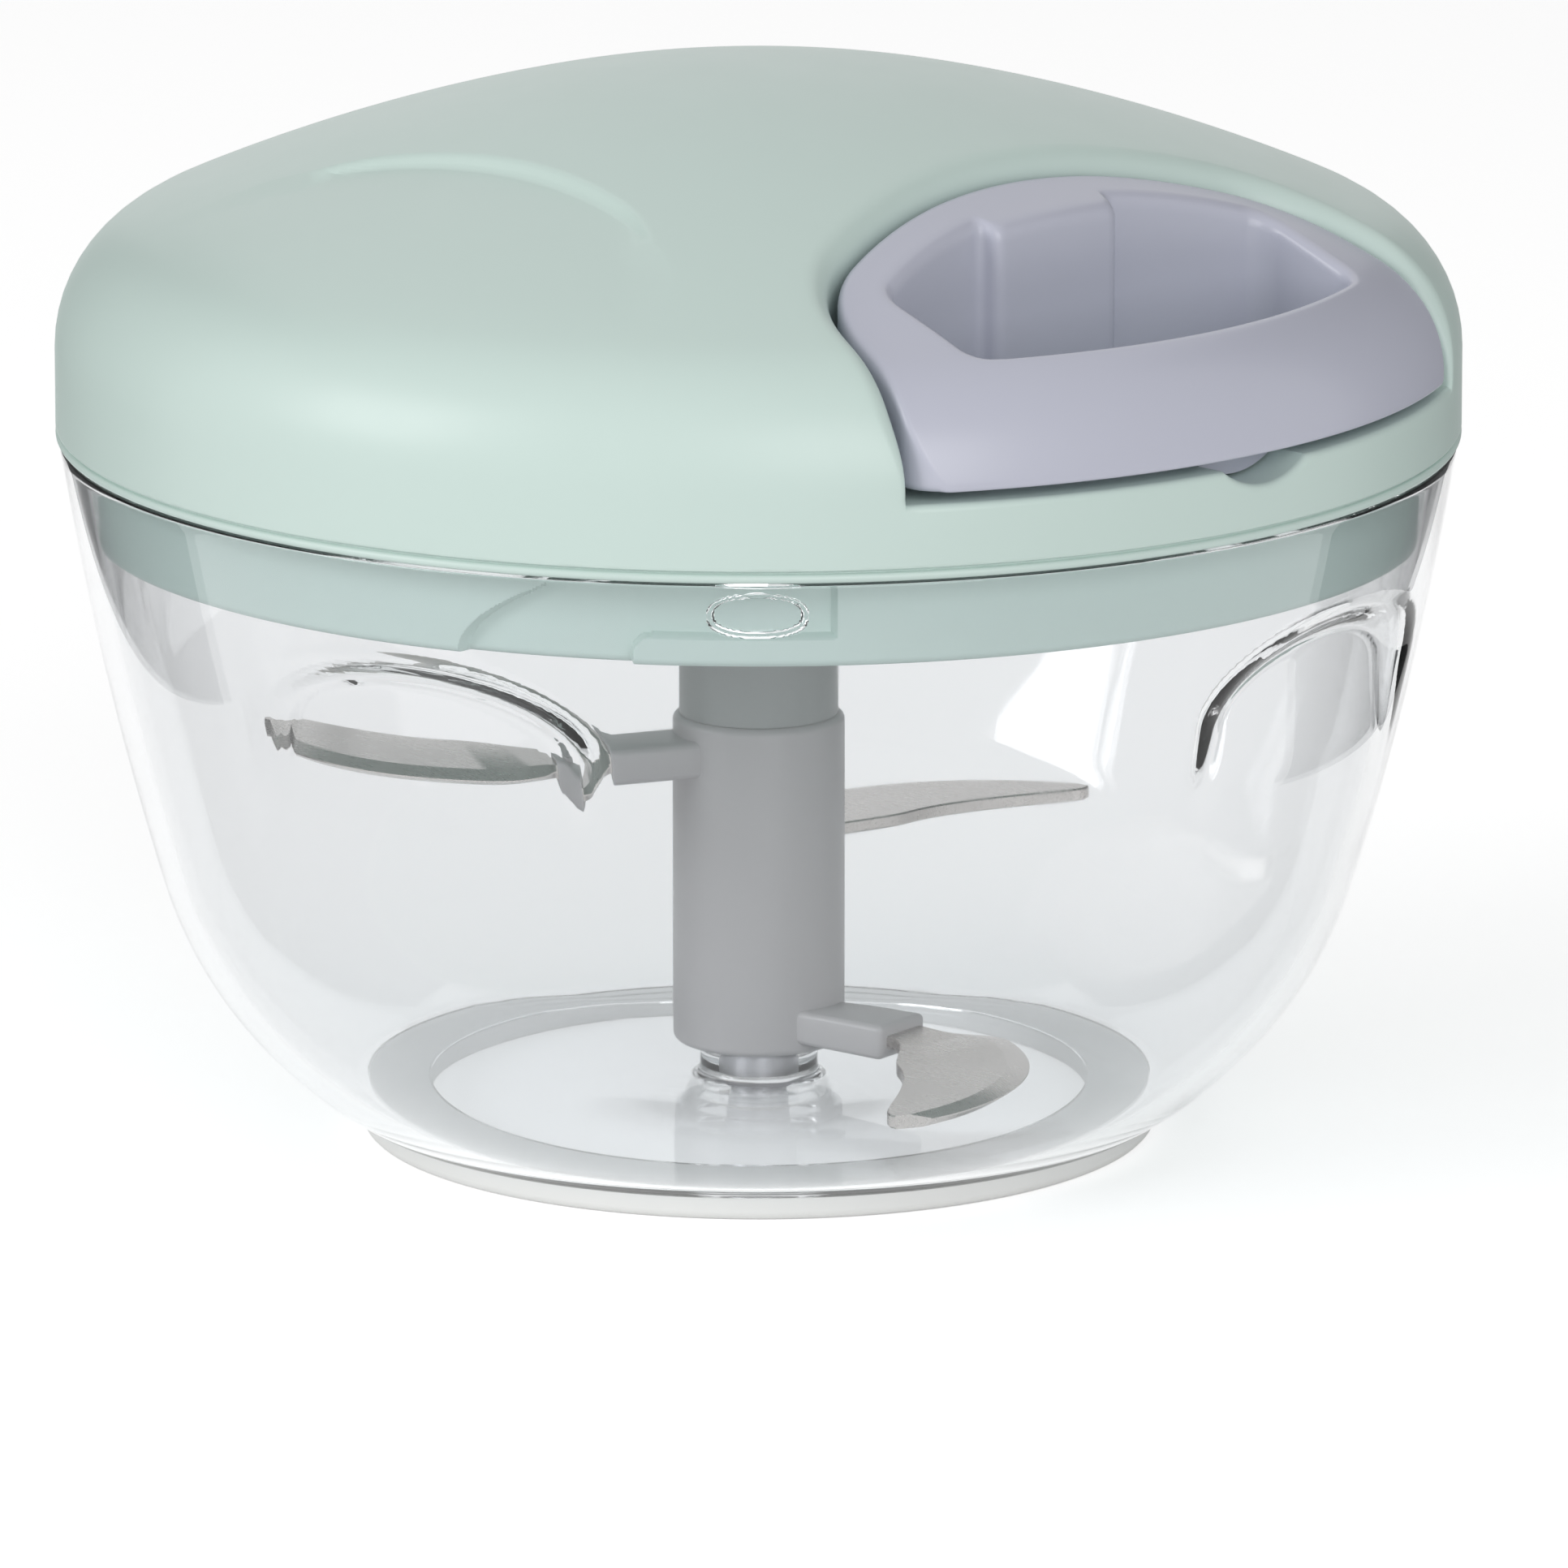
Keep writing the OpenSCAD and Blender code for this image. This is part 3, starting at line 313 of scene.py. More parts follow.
class ChopperStage(bpy.types.PropertyGroup):
    """Camera, lamps and floor."""

    azimuth: angle("Azimuth", "Camera azimuth, from the front towards +X", 45)
    elevation: angle("Elevation", "Camera elevation", 13.5)
    distance: length("Distance", "Distance of the camera", 1600)
    aim_z: length("Aim height", "Height that the camera looks at", 32.2)
    aim_right: length("Aim offset", "Offset of that point to the camera's right", 2.35)
    frame_w: length("Frame", "Width of the view at the object", 145.8)
    key_power: power("Key lamp", "Power of the key lamp", 5.9)
    fill_power: power("Fill lamp", "Power of the fill lamp", 5.7)
    card_out: length("Card place", "Distance of a grey card from the object's axis", 140)
    card_l: length("Card length", "Length of a grey card", 300)
    card_h: length("Card height", "Height of a grey card", 250)
    floor: colour("Floor", "Colour of the floor and backdrop", (244, 244, 244))
    floor_glow: share("Floor glow", "Light that the floor gives off where it is seen", 0.48)
    surround: share("Surroundings", "Light of the surroundings on the object", 0.4)


class ChopperSettings(bpy.types.PropertyGroup):
    """All sizes and finishes of the chopper."""

    lid: bpy.props.PointerProperty(type=ChopperLid, name="Lid")
    bay: bpy.props.PointerProperty(type=ChopperBay, name="Handle bay")
    handle: bpy.props.PointerProperty(type=ChopperHandle, name="Pull handle")
    bowl: bpy.props.PointerProperty(type=ChopperBowl, name="Bowl")
    skirt: bpy.props.PointerProperty(type=ChopperSkirt, name="Lid base")
    shaft: bpy.props.PointerProperty(type=ChopperShaft, name="Blade shaft")
    blades: bpy.props.PointerProperty(type=ChopperBlades, name="Blades")
    cord: bpy.props.PointerProperty(type=ChopperCord, name="Cord")
    screws: bpy.props.PointerProperty(type=ChopperScrews, name="Cover screws")
    finish: bpy.props.PointerProperty(type=ChopperFinish, name="Finishes")
    stage: bpy.props.PointerProperty(type=ChopperStage, name="Stage")


GROUPS = (
    ChopperLid,
    ChopperBay,
    ChopperHandle,
    ChopperBowl,
    ChopperSkirt,
    ChopperShaft,
    ChopperBlades,
    ChopperCord,
    ChopperScrews,
    ChopperFinish,
    ChopperStage,
    ChopperSettings,
)


def sizes(context, group):
    """Values of a property group, with lengths in millimetres and angles in radians."""
    data = getattr(context.scene.chopper, group)
    values = SimpleNamespace()
    for prop in data.bl_rna.properties:
        if prop.identifier in ("rna_type", "name"):
            continue
        value = getattr(data, prop.identifier)
        if prop.type == "FLOAT" and prop.is_array:
            value = tuple(value)
        elif prop.unit == "LENGTH":
            value = value / MM
        setattr(values, prop.identifier, value)
    return values


def smooth(t):
    """Smooth step from 0 to 1."""
    t = np.clip(t, 0, 1)
    return t * t * (3 - 2 * t)


def soft_positive(value, soft, less):
    """The value where it is above nought, run out softly there and lowered a little."""
    return np.maximum(0.5 * (value + np.sqrt(value * value + soft * soft)) - less, 0)


def polar(radius, turn):
    """Point in plan at a radius and an angle."""
    return np.array([radius * math.cos(turn), radius * math.sin(turn)])


def arc_points(centre, radius, start, end, count):
    """Points of an arc in plan, ends included."""
    turn = np.linspace(start, end, count)
    return np.column_stack([centre[0] + radius * np.cos(turn), centre[1] + radius * np.sin(turn)])


def resample(points, count):
    """Points at even steps along a line."""
    points = np.asarray(points, float)
    run = np.concatenate([[0], np.cumsum(np.linalg.norm(np.diff(points, axis=0), axis=1))])
    at = np.linspace(0, run[-1], count)
    return np.column_stack([np.interp(at, run, points[:, k]) for k in range(points.shape[1])])


def grid_faces(rows, columns, first=0, wrap_columns=True, wrap_rows=False):
    """Quads of a grid whose points are stored row by row."""
    faces = []
    for i in range(rows if wrap_rows else rows - 1):
        a, b = first + i * columns, first + (i + 1) % rows * columns
        for j in range(columns if wrap_columns else columns - 1):
            k = (j + 1) % columns
            faces.append((a + j, a + k, b + k, b + j))
    return faces


def fine_turns(count, places, half, step):
    """Angles round the axis, with closer steps in a window round each place."""
    turns = np.arange(count) * TAU / count
    near = []
    for place in places:
        turns = turns[np.abs((turns - place + math.pi) % TAU - math.pi) > half + 0.5 * step]
        near.append((place + np.linspace(-half, half, int(2 * half / step) + 1)) % TAU)
    return np.sort(np.concatenate([turns] + near))


def lathe(profile, columns, shape=None):
    """Points and faces of a turned form. A profile that starts or ends on the axis gets a pole there."""
    profile = np.asarray(profile, float)
    turn = np.arange(columns) * TAU / columns if isinstance(columns, int) else columns
    columns = len(turn)
    closed = profile[0][0] > 1e-6 and profile[-1][0] > 1e-6
    body = profile[(0 if closed else 1):(len(profile) if closed else -1)]
    radius = np.repeat(body[:, :1], columns, axis=1)
    height = np.repeat(body[:, 1:2], columns, axis=1)
    if shape:
        radius, height = shape(radius, height, turn[None, :])
    points = np.stack([radius * np.cos(turn), radius * np.sin(turn), height], axis=-1).reshape(-1, 3)
    faces = grid_faces(len(body), columns, wrap_rows=closed)
    if not closed:
        low, high = len(points), len(points) + 1
        points = np.vstack([points, [0, 0, profile[0][1]], [0, 0, profile[-1][1]]])
        last = (len(body) - 1) * columns
        faces += [(low, (j + 1) % columns, j) for j in range(columns)]
        faces += [(high, last + j, last + (j + 1) % columns) for j in range(columns)]
    return points, faces


def rounded_line(corners, count=5):
    """Open line through (x, y, radius) corners with each corner rounded."""
    line = [corners[0][:2]]
    for before, here, after in zip(corners, corners[1:], corners[2:]):
        p, r = np.array(here[:2], float), here[2]
        u = np.array(before[:2], float) - p
        w = np.array(after[:2], float) - p
        u, w = u / np.linalg.norm(u), w / np.linalg.norm(w)
        half = math.acos(max(-1, min(1, float(u @ w)))) / 2
        if r <= 0 or half > 1.55:
            line.append(tuple(p))
            continue
        a, b = p + u * r / math.tan(half), p + w * r / math.tan(half)
        c = p + (u + w) / np.linalg.norm(u + w) * r / math.sin(half)
        for t in np.linspace(0, 1, count):
            q = a * (1 - t) + b * t - c
            line.append(tuple(c + q / np.linalg.norm(q) * r))
    line.append(corners[-1][:2])
    return line


def tube(path, radius, sides=12, closed=False):
    """Points and faces of a round tube along a path, with capped ends unless it is closed."""
    path = np.asarray(path, float)
    if closed:
        ahead = np.roll(path, -1, 0) - np.roll(path, 1, 0)
    else:
        ahead = np.gradient(path, axis=0)
    ahead /= np.linalg.norm(ahead, axis=1)[:, None]
    side = np.cross(ahead[0], [0, 0, 1.0])
    if np.linalg.norm(side) < 1e-6:
        side = np.array([1.0, 0, 0])
    turns = np.arange(sides) * TAU / sides
    rings = []
    for p, d in zip(path, ahead):
        side = side - d * (side @ d)
        side /= np.linalg.norm(side)
        up = np.cross(d, side)
        rings += [p + radius * (side * math.cos(a) + up * math.sin(a)) for a in turns]
    faces = grid_faces(len(path), sides, wrap_rows=closed)
    if not closed:
        last = (len(path) - 1) * sides
        faces += [tuple(range(sides - 1, -1, -1)), tuple(last + k for k in range(sides))]
    return np.array(rings), faces


def join(parts):
    """One list of points and faces from several."""
    points, faces = [], []
    for some, quads in parts:
        first = sum(len(p) for p in points)
        points.append(np.asarray(some, float))
        faces += [tuple(first + k for k in face) for face in quads]
    return np.vstack(points), faces


def nearest_places(points, line):
    """Which point of a line in plan is nearest to each given point."""
    return np.argmin(
        (points[:, None, 0] - line[None, :, 0]) ** 2 + (points[:, None, 1] - line[None, :, 1]) ** 2, axis=1
    )


def inside(loop, points):
    """Which points lie inside a closed loop in the plane."""
    x, y = points[:, 0], points[:, 1]
    hit = np.zeros(len(points), bool)
    for (x0, y0), (x1, y1) in zip(loop, np.roll(loop, -1, 0)):
        cross = (y0 > y) != (y1 > y)
        if y0 != y1:
            hit ^= cross & (x < (x1 - x0) * (y - y0) / (y1 - y0) + x0)
    return hit


def fill_plane(loops, spots, keep):
    """Triangles of a plane region: constraint loops, spare points and a test of the triangles' middles."""
    points, edges = [], []
    for loop, closed in loops:
        first = len(points)
        points += [tuple(p) for p in loop]
        count = len(loop)
        edges += [(first + i, first + (i + 1) % count) for i in range(count if closed else count - 1)]
    points += [tuple(p) for p in spots]
    found = delaunay_2d_cdt([Vector(p) for p in points], edges, [], 0, 1e-5)
    flat = np.array([tuple(v) for v in found[0]])
    tris = np.array([tuple(f) for f in found[2]])
    corner = flat[tris]
    a, b = corner[:, 1] - corner[:, 0], corner[:, 2] - corner[:, 0]
    turn = a[:, 0] * b[:, 1] - a[:, 1] * b[:, 0]
    tris[turn < 0] = tris[turn < 0][:, ::-1]
    return flat, tris[keep(corner.mean(1))]


def build(context, name, parts, body, finish, node=None, sharp=35, weld=0.0):
    """Makes a mesh object from (points in millimetres, faces), in its finish and on its body."""
    points, faces = join(parts)
    mesh = bpy.data.meshes.new(name)
    mesh.from_pydata((points * MM).tolist(), [], [tuple(int(k) for k in f) for f in faces])
    shell = bmesh.new()
    shell.from_mesh(mesh)
    if weld:
        bmesh.ops.remove_doubles(shell, verts=shell.verts, dist=weld * MM)
        bmesh.ops.dissolve_degenerate(shell, edges=shell.edges, dist=weld * MM * 0.5)
    bmesh.ops.recalc_face_normals(shell, faces=shell.faces)
    shell.to_mesh(mesh)
    shell.free()
    mesh.validate()
    mesh.shade_smooth()
    mesh.set_sharp_from_angle(angle=math.radians(sharp))
    mesh.materials.append(finish_of(context, finish))
    piece = bpy.data.objects.new(name, mesh)
    context.scene.collection.objects.link(piece)
    if body:
        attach(piece, body)
    if node:
        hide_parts(node)
    return piece


def cut_or_add(piece, points, faces, operation):
    """Applies a boolean with a helper form and removes the helper."""
    mesh = bpy.data.meshes.new("helper")
    mesh.from_pydata((np.asarray(points) * MM).tolist(), [], [tuple(int(k) for k in f) for f in faces])
    shell = bmesh.new()
    shell.from_mesh(mesh)
    bmesh.ops.recalc_face_normals(shell, faces=shell.faces)
    shell.to_mesh(mesh)
    shell.free()
    helper = bpy.data.objects.new("helper", mesh)
    bpy.context.scene.collection.objects.link(helper)
    step = piece.modifiers.new("form", "BOOLEAN")
    step.object, step.operation, step.solver = helper, operation, "EXACT"
    view = bpy.context.evaluated_depsgraph_get()
    result = bpy.data.meshes.new_from_object(piece.evaluated_get(view))
    piece.modifiers.remove(step)
    old = piece.data
    result.name = old.name
    piece.data = result
    bpy.data.meshes.remove(old)
    bpy.data.objects.remove(helper)
    bpy.data.meshes.remove(mesh)


def dome_arcs(lid):
    """Crown, flank and shoulder of the dome as (centre, radius, first slope, last slope)."""
    cs, ss = lid.crown_slope, lid.shoulder_slope
    end_r = lid.radius - lid.shoulder_r * (1 - math.sin(ss))
    drop = lid.dome_rise - lid.shoulder_r * math.cos(ss)
    sin_step = math.sin(ss) - math.sin(cs)
    cos_step = math.cos(cs) - math.cos(ss)
    det = math.sin(cs) * cos_step - (1 - math.cos(cs)) * sin_step
    crown_r = (end_r * cos_step - drop * sin_step) / det
    flank_r = (drop * math.sin(cs) - end_r * (1 - math.cos(cs))) / det
    band_z = lid.seam_z + lid.band_h
    crown_c = np.array([0, band_z + lid.dome_rise - crown_r])
    flank_c = crown_c + (crown_r - flank_r) * np.array([math.sin(cs), math.cos(cs)])
    shoulder_c = np.array([lid.radius - lid.shoulder_r, band_z])
    return [
        (crown_c, crown_r, 0, cs),
        (flank_c, flank_r, cs, ss),
        (shoulder_c, lid.shoulder_r, ss, math.pi / 2),
    ]


class DomeLine:
    """Line of the lid from its apex over the shoulder and down the band, to a cut above the seam."""

    def __init__(self, lid, inset=0.0, cut=0.0):
        line = []
        for centre, radius, first, last in dome_arcs(lid):
            slope = np.linspace(first, last, 400)
            line.append(np.column_stack([
                centre[0] + (radius - inset) * np.sin(slope),
                centre[1] + (radius - inset) * np.cos(slope),
            ]))
        out = lid.radius - inset
        band = np.linspace(lid.seam_z + lid.band_h, lid.seam_z + cut, 80)
        line = np.vstack(line + [np.column_stack([np.full(80, out), band])])
        step = np.linalg.norm(np.diff(line, axis=0), axis=1)
        self.line = line[np.concatenate([[True], step > 1e-7])]
        self.run = np.concatenate([[0], np.cumsum(step[step > 1e-7])])
        self.total = self.run[-1]

    def at(self, run):
        """Radius and height at a distance along the line."""
        return np.interp(run, self.run, self.line[:, 0]), np.interp(run, self.run, self.line[:, 1])

    def nearest(self, radius, height):
        """Distance along the line of the nearest place to each given point."""
        gap = (self.line[None, :, 0] - radius[:, None]) ** 2 + (self.line[None, :, 1] - height[:, None]) ** 2
        return self.run[np.argmin(gap, axis=1)]

    def height(self, radius):
        """Height of the dome over a radius."""
        upper = self.line[: int(np.argmax(self.line[:, 0] >= self.line[:, 0].max() - 1e-6)) + 1]
        return np.interp(radius, upper[:, 0], upper[:, 1])


class BayLine:
    """Plan of the handle bay: a wide arc, two round corners and two flared ends."""

    def __init__(self, lid, bay):
        self.bay = bay
        self.arc_c = np.array([bay.inner_x + bay.arc_r, 0])
        self.mouth = np.array([math.sqrt(lid.radius**2 - bay.mouth_w**2 / 4), bay.mouth_w / 2])
        self.along = np.array([math.cos(bay.flare), math.sin(bay.flare)])
        self.out = np.array([-math.sin(bay.flare), math.cos(bay.flare)])
        start = self.mouth - bay.corner_r * self.out - self.arc_c
        run = float(start @ self.along)
        reach = bay.arc_r - bay.corner_r
        back = -run - math.sqrt(run * run + reach * reach - float(start @ start))
        self.corner_c = self.arc_c + start + back * self.along
        self.half = math.atan2(self.corner_c[1], self.arc_c[0] - self.corner_c[0])

    def end_point(self, grow, radius):
        """Where the end of the outline, grown, meets a circle round the lid axis."""
        p = self.corner_c + (self.bay.corner_r + grow) * self.out
        run = float(p @ self.along)
        return p + (-run + math.sqrt(run * run + radius * radius - float(p @ p))) * self.along

    def side(self, grow, radius, step=0.9):
        """Half of the outline from the X axis to a circle round the lid axis."""
        bay = self.bay
        arc_r, corner_r = bay.arc_r + grow, bay.corner_r + grow
        bend, stop = math.pi - self.half, math.pi / 2 + bay.flare
        first = arc_points(self.arc_c, arc_r, math.pi, bend, max(4, int(arc_r * self.half / step)))
        second = arc_points(self.corner_c, corner_r, bend, stop, max(4, int(corner_r * (bend - stop) / step)))
        end = self.end_point(grow, radius)
        count = max(3, int(np.linalg.norm(end - second[-1]) / step))
        third = second[-1] + (end - second[-1]) * np.linspace(0, 1, count)[:, None]
        return np.vstack([first, second[1:], third[1:]])

    def whole(self, grow, radius, step=0.9):
        """The outline from its end at -Y to its end at +Y."""
        half = self.side(grow, radius, step)
        return np.vstack([(half * [1, -1])[:0:-1], half])

    def depth(self, x, y):
        """Distance inside the outline, below nought outside it."""
        bay = self.bay
        y = np.abs(y)
        a = bay.corner_r - (bay.arc_r - np.hypot(x - self.arc_c[0], y))
        b = bay.corner_r + (x - self.mouth[0]) * self.out[0] + (y - self.mouth[1]) * self.out[1]
        q = np.hypot(np.maximum(a, 0), np.maximum(b, 0))
        return bay.corner_r - q - np.minimum(np.maximum(a, b), 0)


def socket(tree, name, way, kind, default=None):
    """Adds an input or output socket to a node group."""
    made = tree.interface.new_socket(name=name, in_out=way, socket_type=kind)
    if default is not None:
        made.default_value = default
    return made


def node(tree, kind, **values):
    """Adds a shader node; a value named after an input is set on that input."""
    made = tree.nodes.new(kind)
    for key, value in values.items():
        if hasattr(made, key) and key not in made.inputs:
            setattr(made, key, value)
        else:
            made.inputs[key].default_value = value
    return made


def math_node(tree, operation, a, b=None, clamp=False):
    """Math node on two sockets or numbers."""
    made = node(tree, "ShaderNodeMath", operation=operation, use_clamp=clamp)
    for place, value in ((0, a), (1, b)):
        if value is None:
            continue
        if isinstance(value, (int, float)):
            made.inputs[place].default_value = value
        else:
            tree.links.new(value, made.inputs[place])
    return made.outputs[0]


def noise(tree, scale, detail=3.0, rough=0.5, stretch=None):
    """Noise over object coordinates, in metres."""
    place = node(tree, "ShaderNodeTexCoord").outputs["Object"]
    if stretch:
        turn = node(tree, "ShaderNodeMapping")
        turn.inputs["Scale"].default_value = stretch
        tree.links.new(place, turn.inputs["Vector"])
        place = turn.outputs["Vector"]
    made = node(tree, "ShaderNodeTexNoise", Scale=scale, Detail=detail, Roughness=rough)
    tree.links.new(place, made.inputs["Vector"])
    return made.outputs["Fac"]


def tint(tree, base, amount, low, high):
    """Base colour made lighter or darker by a mask."""
    spread = node(tree, "ShaderNodeMapRange")
    spread.inputs["To Min"].default_value = low
    spread.inputs["To Max"].default_value = high
    tree.links.new(amount, spread.inputs["Value"])
    mix = node(tree, "ShaderNodeMix", data_type="RGBA", blend_type="MULTIPLY")
    mix.inputs["Factor"].default_value = 1.0
    tree.links.new(base, mix.inputs[6])
    tree.links.new(spread.outputs["Result"], mix.inputs[7])
    return mix.outputs[2]


def group_tree(name, inputs, outputs):
    """New node group with its sockets, and its input and output nodes."""
    tree = bpy.data.node_groups.new(name, "ShaderNodeTree")
    for label, kind, default in inputs:
        socket(tree, label, "INPUT", kind, default)
    for label, kind in outputs:
        socket(tree, label, "OUTPUT", kind)
    return tree, tree.nodes.new("NodeGroupInput"), tree.nodes.new("NodeGroupOutput")


def moulded_group():
    """Moulded plastic: faint flow mottling, fine spark texture and handling marks in the gloss."""
    if "Moulded Plastic" in bpy.data.node_groups:
        return bpy.data.node_groups["Moulded Plastic"]
    tree, take, give = group_tree(
        "Moulded Plastic",
        [
            ("Colour", "NodeSocketColor", (0.8, 0.8, 0.8, 1)),
            ("Roughness", "NodeSocketFloat", 0.35),
            ("Mottle", "NodeSocketFloat", 0.02),
            ("Grain Scale", "NodeSocketFloat", 2600.0),
        ],
        [("Colour", "NodeSocketColor"), ("Roughness", "NodeSocketFloat"), ("Height", "NodeSocketFloat")],
    )
    flow = noise(tree, 45.0, 4.0, 0.6)
    low = math_node(tree, "SUBTRACT", 1.0, take.outputs["Mottle"])
    high = math_node(tree, "ADD", 1.0, take.outputs["Mottle"])
    spread = node(tree, "ShaderNodeMapRange")
    tree.links.new(flow, spread.inputs["Value"])
    tree.links.new(low, spread.inputs["To Min"])
    tree.links.new(high, spread.inputs["To Max"])
    mix = node(tree, "ShaderNodeMix", data_type="RGBA", blend_type="MULTIPLY")
    mix.inputs["Factor"].default_value = 1.0
    tree.links.new(take.outputs["Colour"], mix.inputs[6])
    tree.links.new(spread.outputs["Result"], mix.inputs[7])
    tree.links.new(mix.outputs[2], give.inputs["Colour"])
    marks = noise(tree, 160.0, 6.0, 0.7)
    wipe = math_node(tree, "MULTIPLY", math_node(tree, "SUBTRACT", marks, 0.5), 0.10)
    tree.links.new(math_node(tree, "ADD", take.outputs["Roughness"], wipe, True), give.inputs["Roughness"])
    grain = node(tree, "ShaderNodeTexNoise", Detail=2.0)
    tree.links.new(node(tree, "ShaderNodeTexCoord").outputs["Object"], grain.inputs["Vector"])
    tree.links.new(take.outputs["Grain Scale"], grain.inputs["Scale"])
    tree.links.new(grain.outputs["Fac"], give.inputs["Height"])
    return tree


def steel_group():
    """Brushed steel: fine scratches along one way, cloudy gloss and a cool tint in places."""
    if "Brushed Steel" in bpy.data.node_groups:
        return bpy.data.node_groups["Brushed Steel"]
    tree, take, give = group_tree(
        "Brushed Steel",
        [
            ("Colour", "NodeSocketColor", (0.6, 0.6, 0.6, 1)),
            ("Roughness", "NodeSocketFloat", 0.3),
            ("Scratch", "NodeSocketFloat", 0.12),
        ],
        [("Colour", "NodeSocketColor"), ("Roughness", "NodeSocketFloat"), ("Height", "NodeSocketFloat")],
    )
    lines = noise(tree, 400.0, 3.0, 0.6, (1.0, 9.0, 9.0))
    cloud = noise(tree, 60.0, 4.0, 0.6)
    tree.links.new(tint(tree, take.outputs["Colour"], lines, 0.9, 1.08), give.inputs["Colour"])
    scratch = math_node(tree, "MULTIPLY", math_node(tree, "SUBTRACT", lines, 0.5), take.outputs["Scratch"])
    haze = math_node(tree, "MULTIPLY", math_node(tree, "SUBTRACT", cloud, 0.5), 0.12)
    total = math_node(tree, "ADD", math_node(tree, "ADD", take.outputs["Roughness"], scratch), haze, True)
    tree.links.new(total, give.inputs["Roughness"])
    tree.links.new(lines, give.inputs["Height"])
    return tree


def new_material(name):
    """Empty node material with its output and Principled shader."""
    material = bpy.data.materials.new(name)
    material.use_nodes = True
    tree = material.node_tree
    tree.nodes.clear()
    out = tree.nodes.new("ShaderNodeOutputMaterial")
    shader = tree.nodes.new("ShaderNodeBsdfPrincipled")
    tree.links.new(shader.outputs["BSDF"], out.inputs["Surface"])
    return material, tree, shader, out


def place_group(tree, group, shader, bump, distance, **values):
    """Places a shared group and links its colour, gloss and height to the shader."""
    made = tree.nodes.new("ShaderNodeGroup")
    made.node_tree = group
    for key, value in values.items():
        made.inputs[key.replace("_", " ")].default_value = value
    tree.links.new(made.outputs["Colour"], shader.inputs["Base Color"])
    tree.links.new(made.outputs["Roughness"], shader.inputs["Roughness"])
    relief = node(tree, "ShaderNodeBump", Strength=bump, Distance=distance)
    tree.links.new(made.outputs["Height"], relief.inputs["Height"])
    tree.links.new(relief.outputs["Normal"], shader.inputs["Normal"])
    return made


def plastic(name, rgb, roughness, mottle=0.02, bump=0.05, coat=0.0, grain=2600.0, shine=0.5):
    """Moulded opaque plastic."""
    if name in bpy.data.materials:
        return bpy.data.materials[name]
    material, tree, shader, _ = new_material(name)
    place_group(
        tree, moulded_group(), shader, bump, 0.00005,
        Colour=(*rgb, 1), Roughness=roughness, Mottle=mottle, Grain_Scale=grain,
    )
    shader.inputs["IOR"].default_value = 1.5
    shader.inputs["Specular IOR Level"].default_value = shine
    shader.inputs["Coat Weight"].default_value = coat
    shader.inputs["Coat Roughness"].default_value = 0.12
    material.diffuse_color = (*rgb, 1)
    return material


def steel(name, rgb, roughness, scratch=0.12, bump=0.08):
    """Brushed or plated steel."""
    if name in bpy.data.materials:
        return bpy.data.materials[name]
    material, tree, shader, _ = new_material(name)
    place_group(
        tree, steel_group(), shader, bump, 0.00004,
        Colour=(*rgb, 1), Roughness=roughness, Scratch=scratch,
    )
    shader.inputs["Metallic"].default_value = 1.0
    material.diffuse_color = (*rgb, 1)
    return material


def braid(name, rgb):
    """Braided cord: crossing strands from two slanted waves."""
    if name in bpy.data.materials:
        return bpy.data.materials[name]
    material, tree, shader, _ = new_material(name)
    place = node(tree, "ShaderNodeTexCoord").outputs["Object"]
    strands = []
    for slant in (1.0, -1.0):
        turn = node(tree, "ShaderNodeMapping")
        turn.inputs["Rotation"].default_value = (0.6 * slant, 0.5 * slant, 0.7 * slant)
        tree.links.new(place, turn.inputs["Vector"])
        wave = node(tree, "ShaderNodeTexWave", Scale=330.0, Distortion=0.6)
        tree.links.new(turn.outputs["Vector"], wave.inputs["Vector"])
        strands.append(wave.outputs["Fac"])
    weave = math_node(tree, "MAXIMUM", *strands)
    base = node(tree, "ShaderNodeRGB")
    base.outputs[0].default_value = (*rgb, 1)
    # Painted shade: the white is darkened down to 0.72 where the weave is low, between the strands.
    tree.links.new(tint(tree, base.outputs[0], weave, 0.72, 1.0), shader.inputs["Base Color"])
    relief = node(tree, "ShaderNodeBump", Strength=0.6, Distance=0.0002)
    tree.links.new(weave, relief.inputs["Height"])
    tree.links.new(relief.outputs["Normal"], shader.inputs["Normal"])
    shader.inputs["Roughness"].default_value = 0.8
    shader.inputs["Sheen Weight"].default_value = 0.3
    material.diffuse_color = (*rgb, 1)
    return material


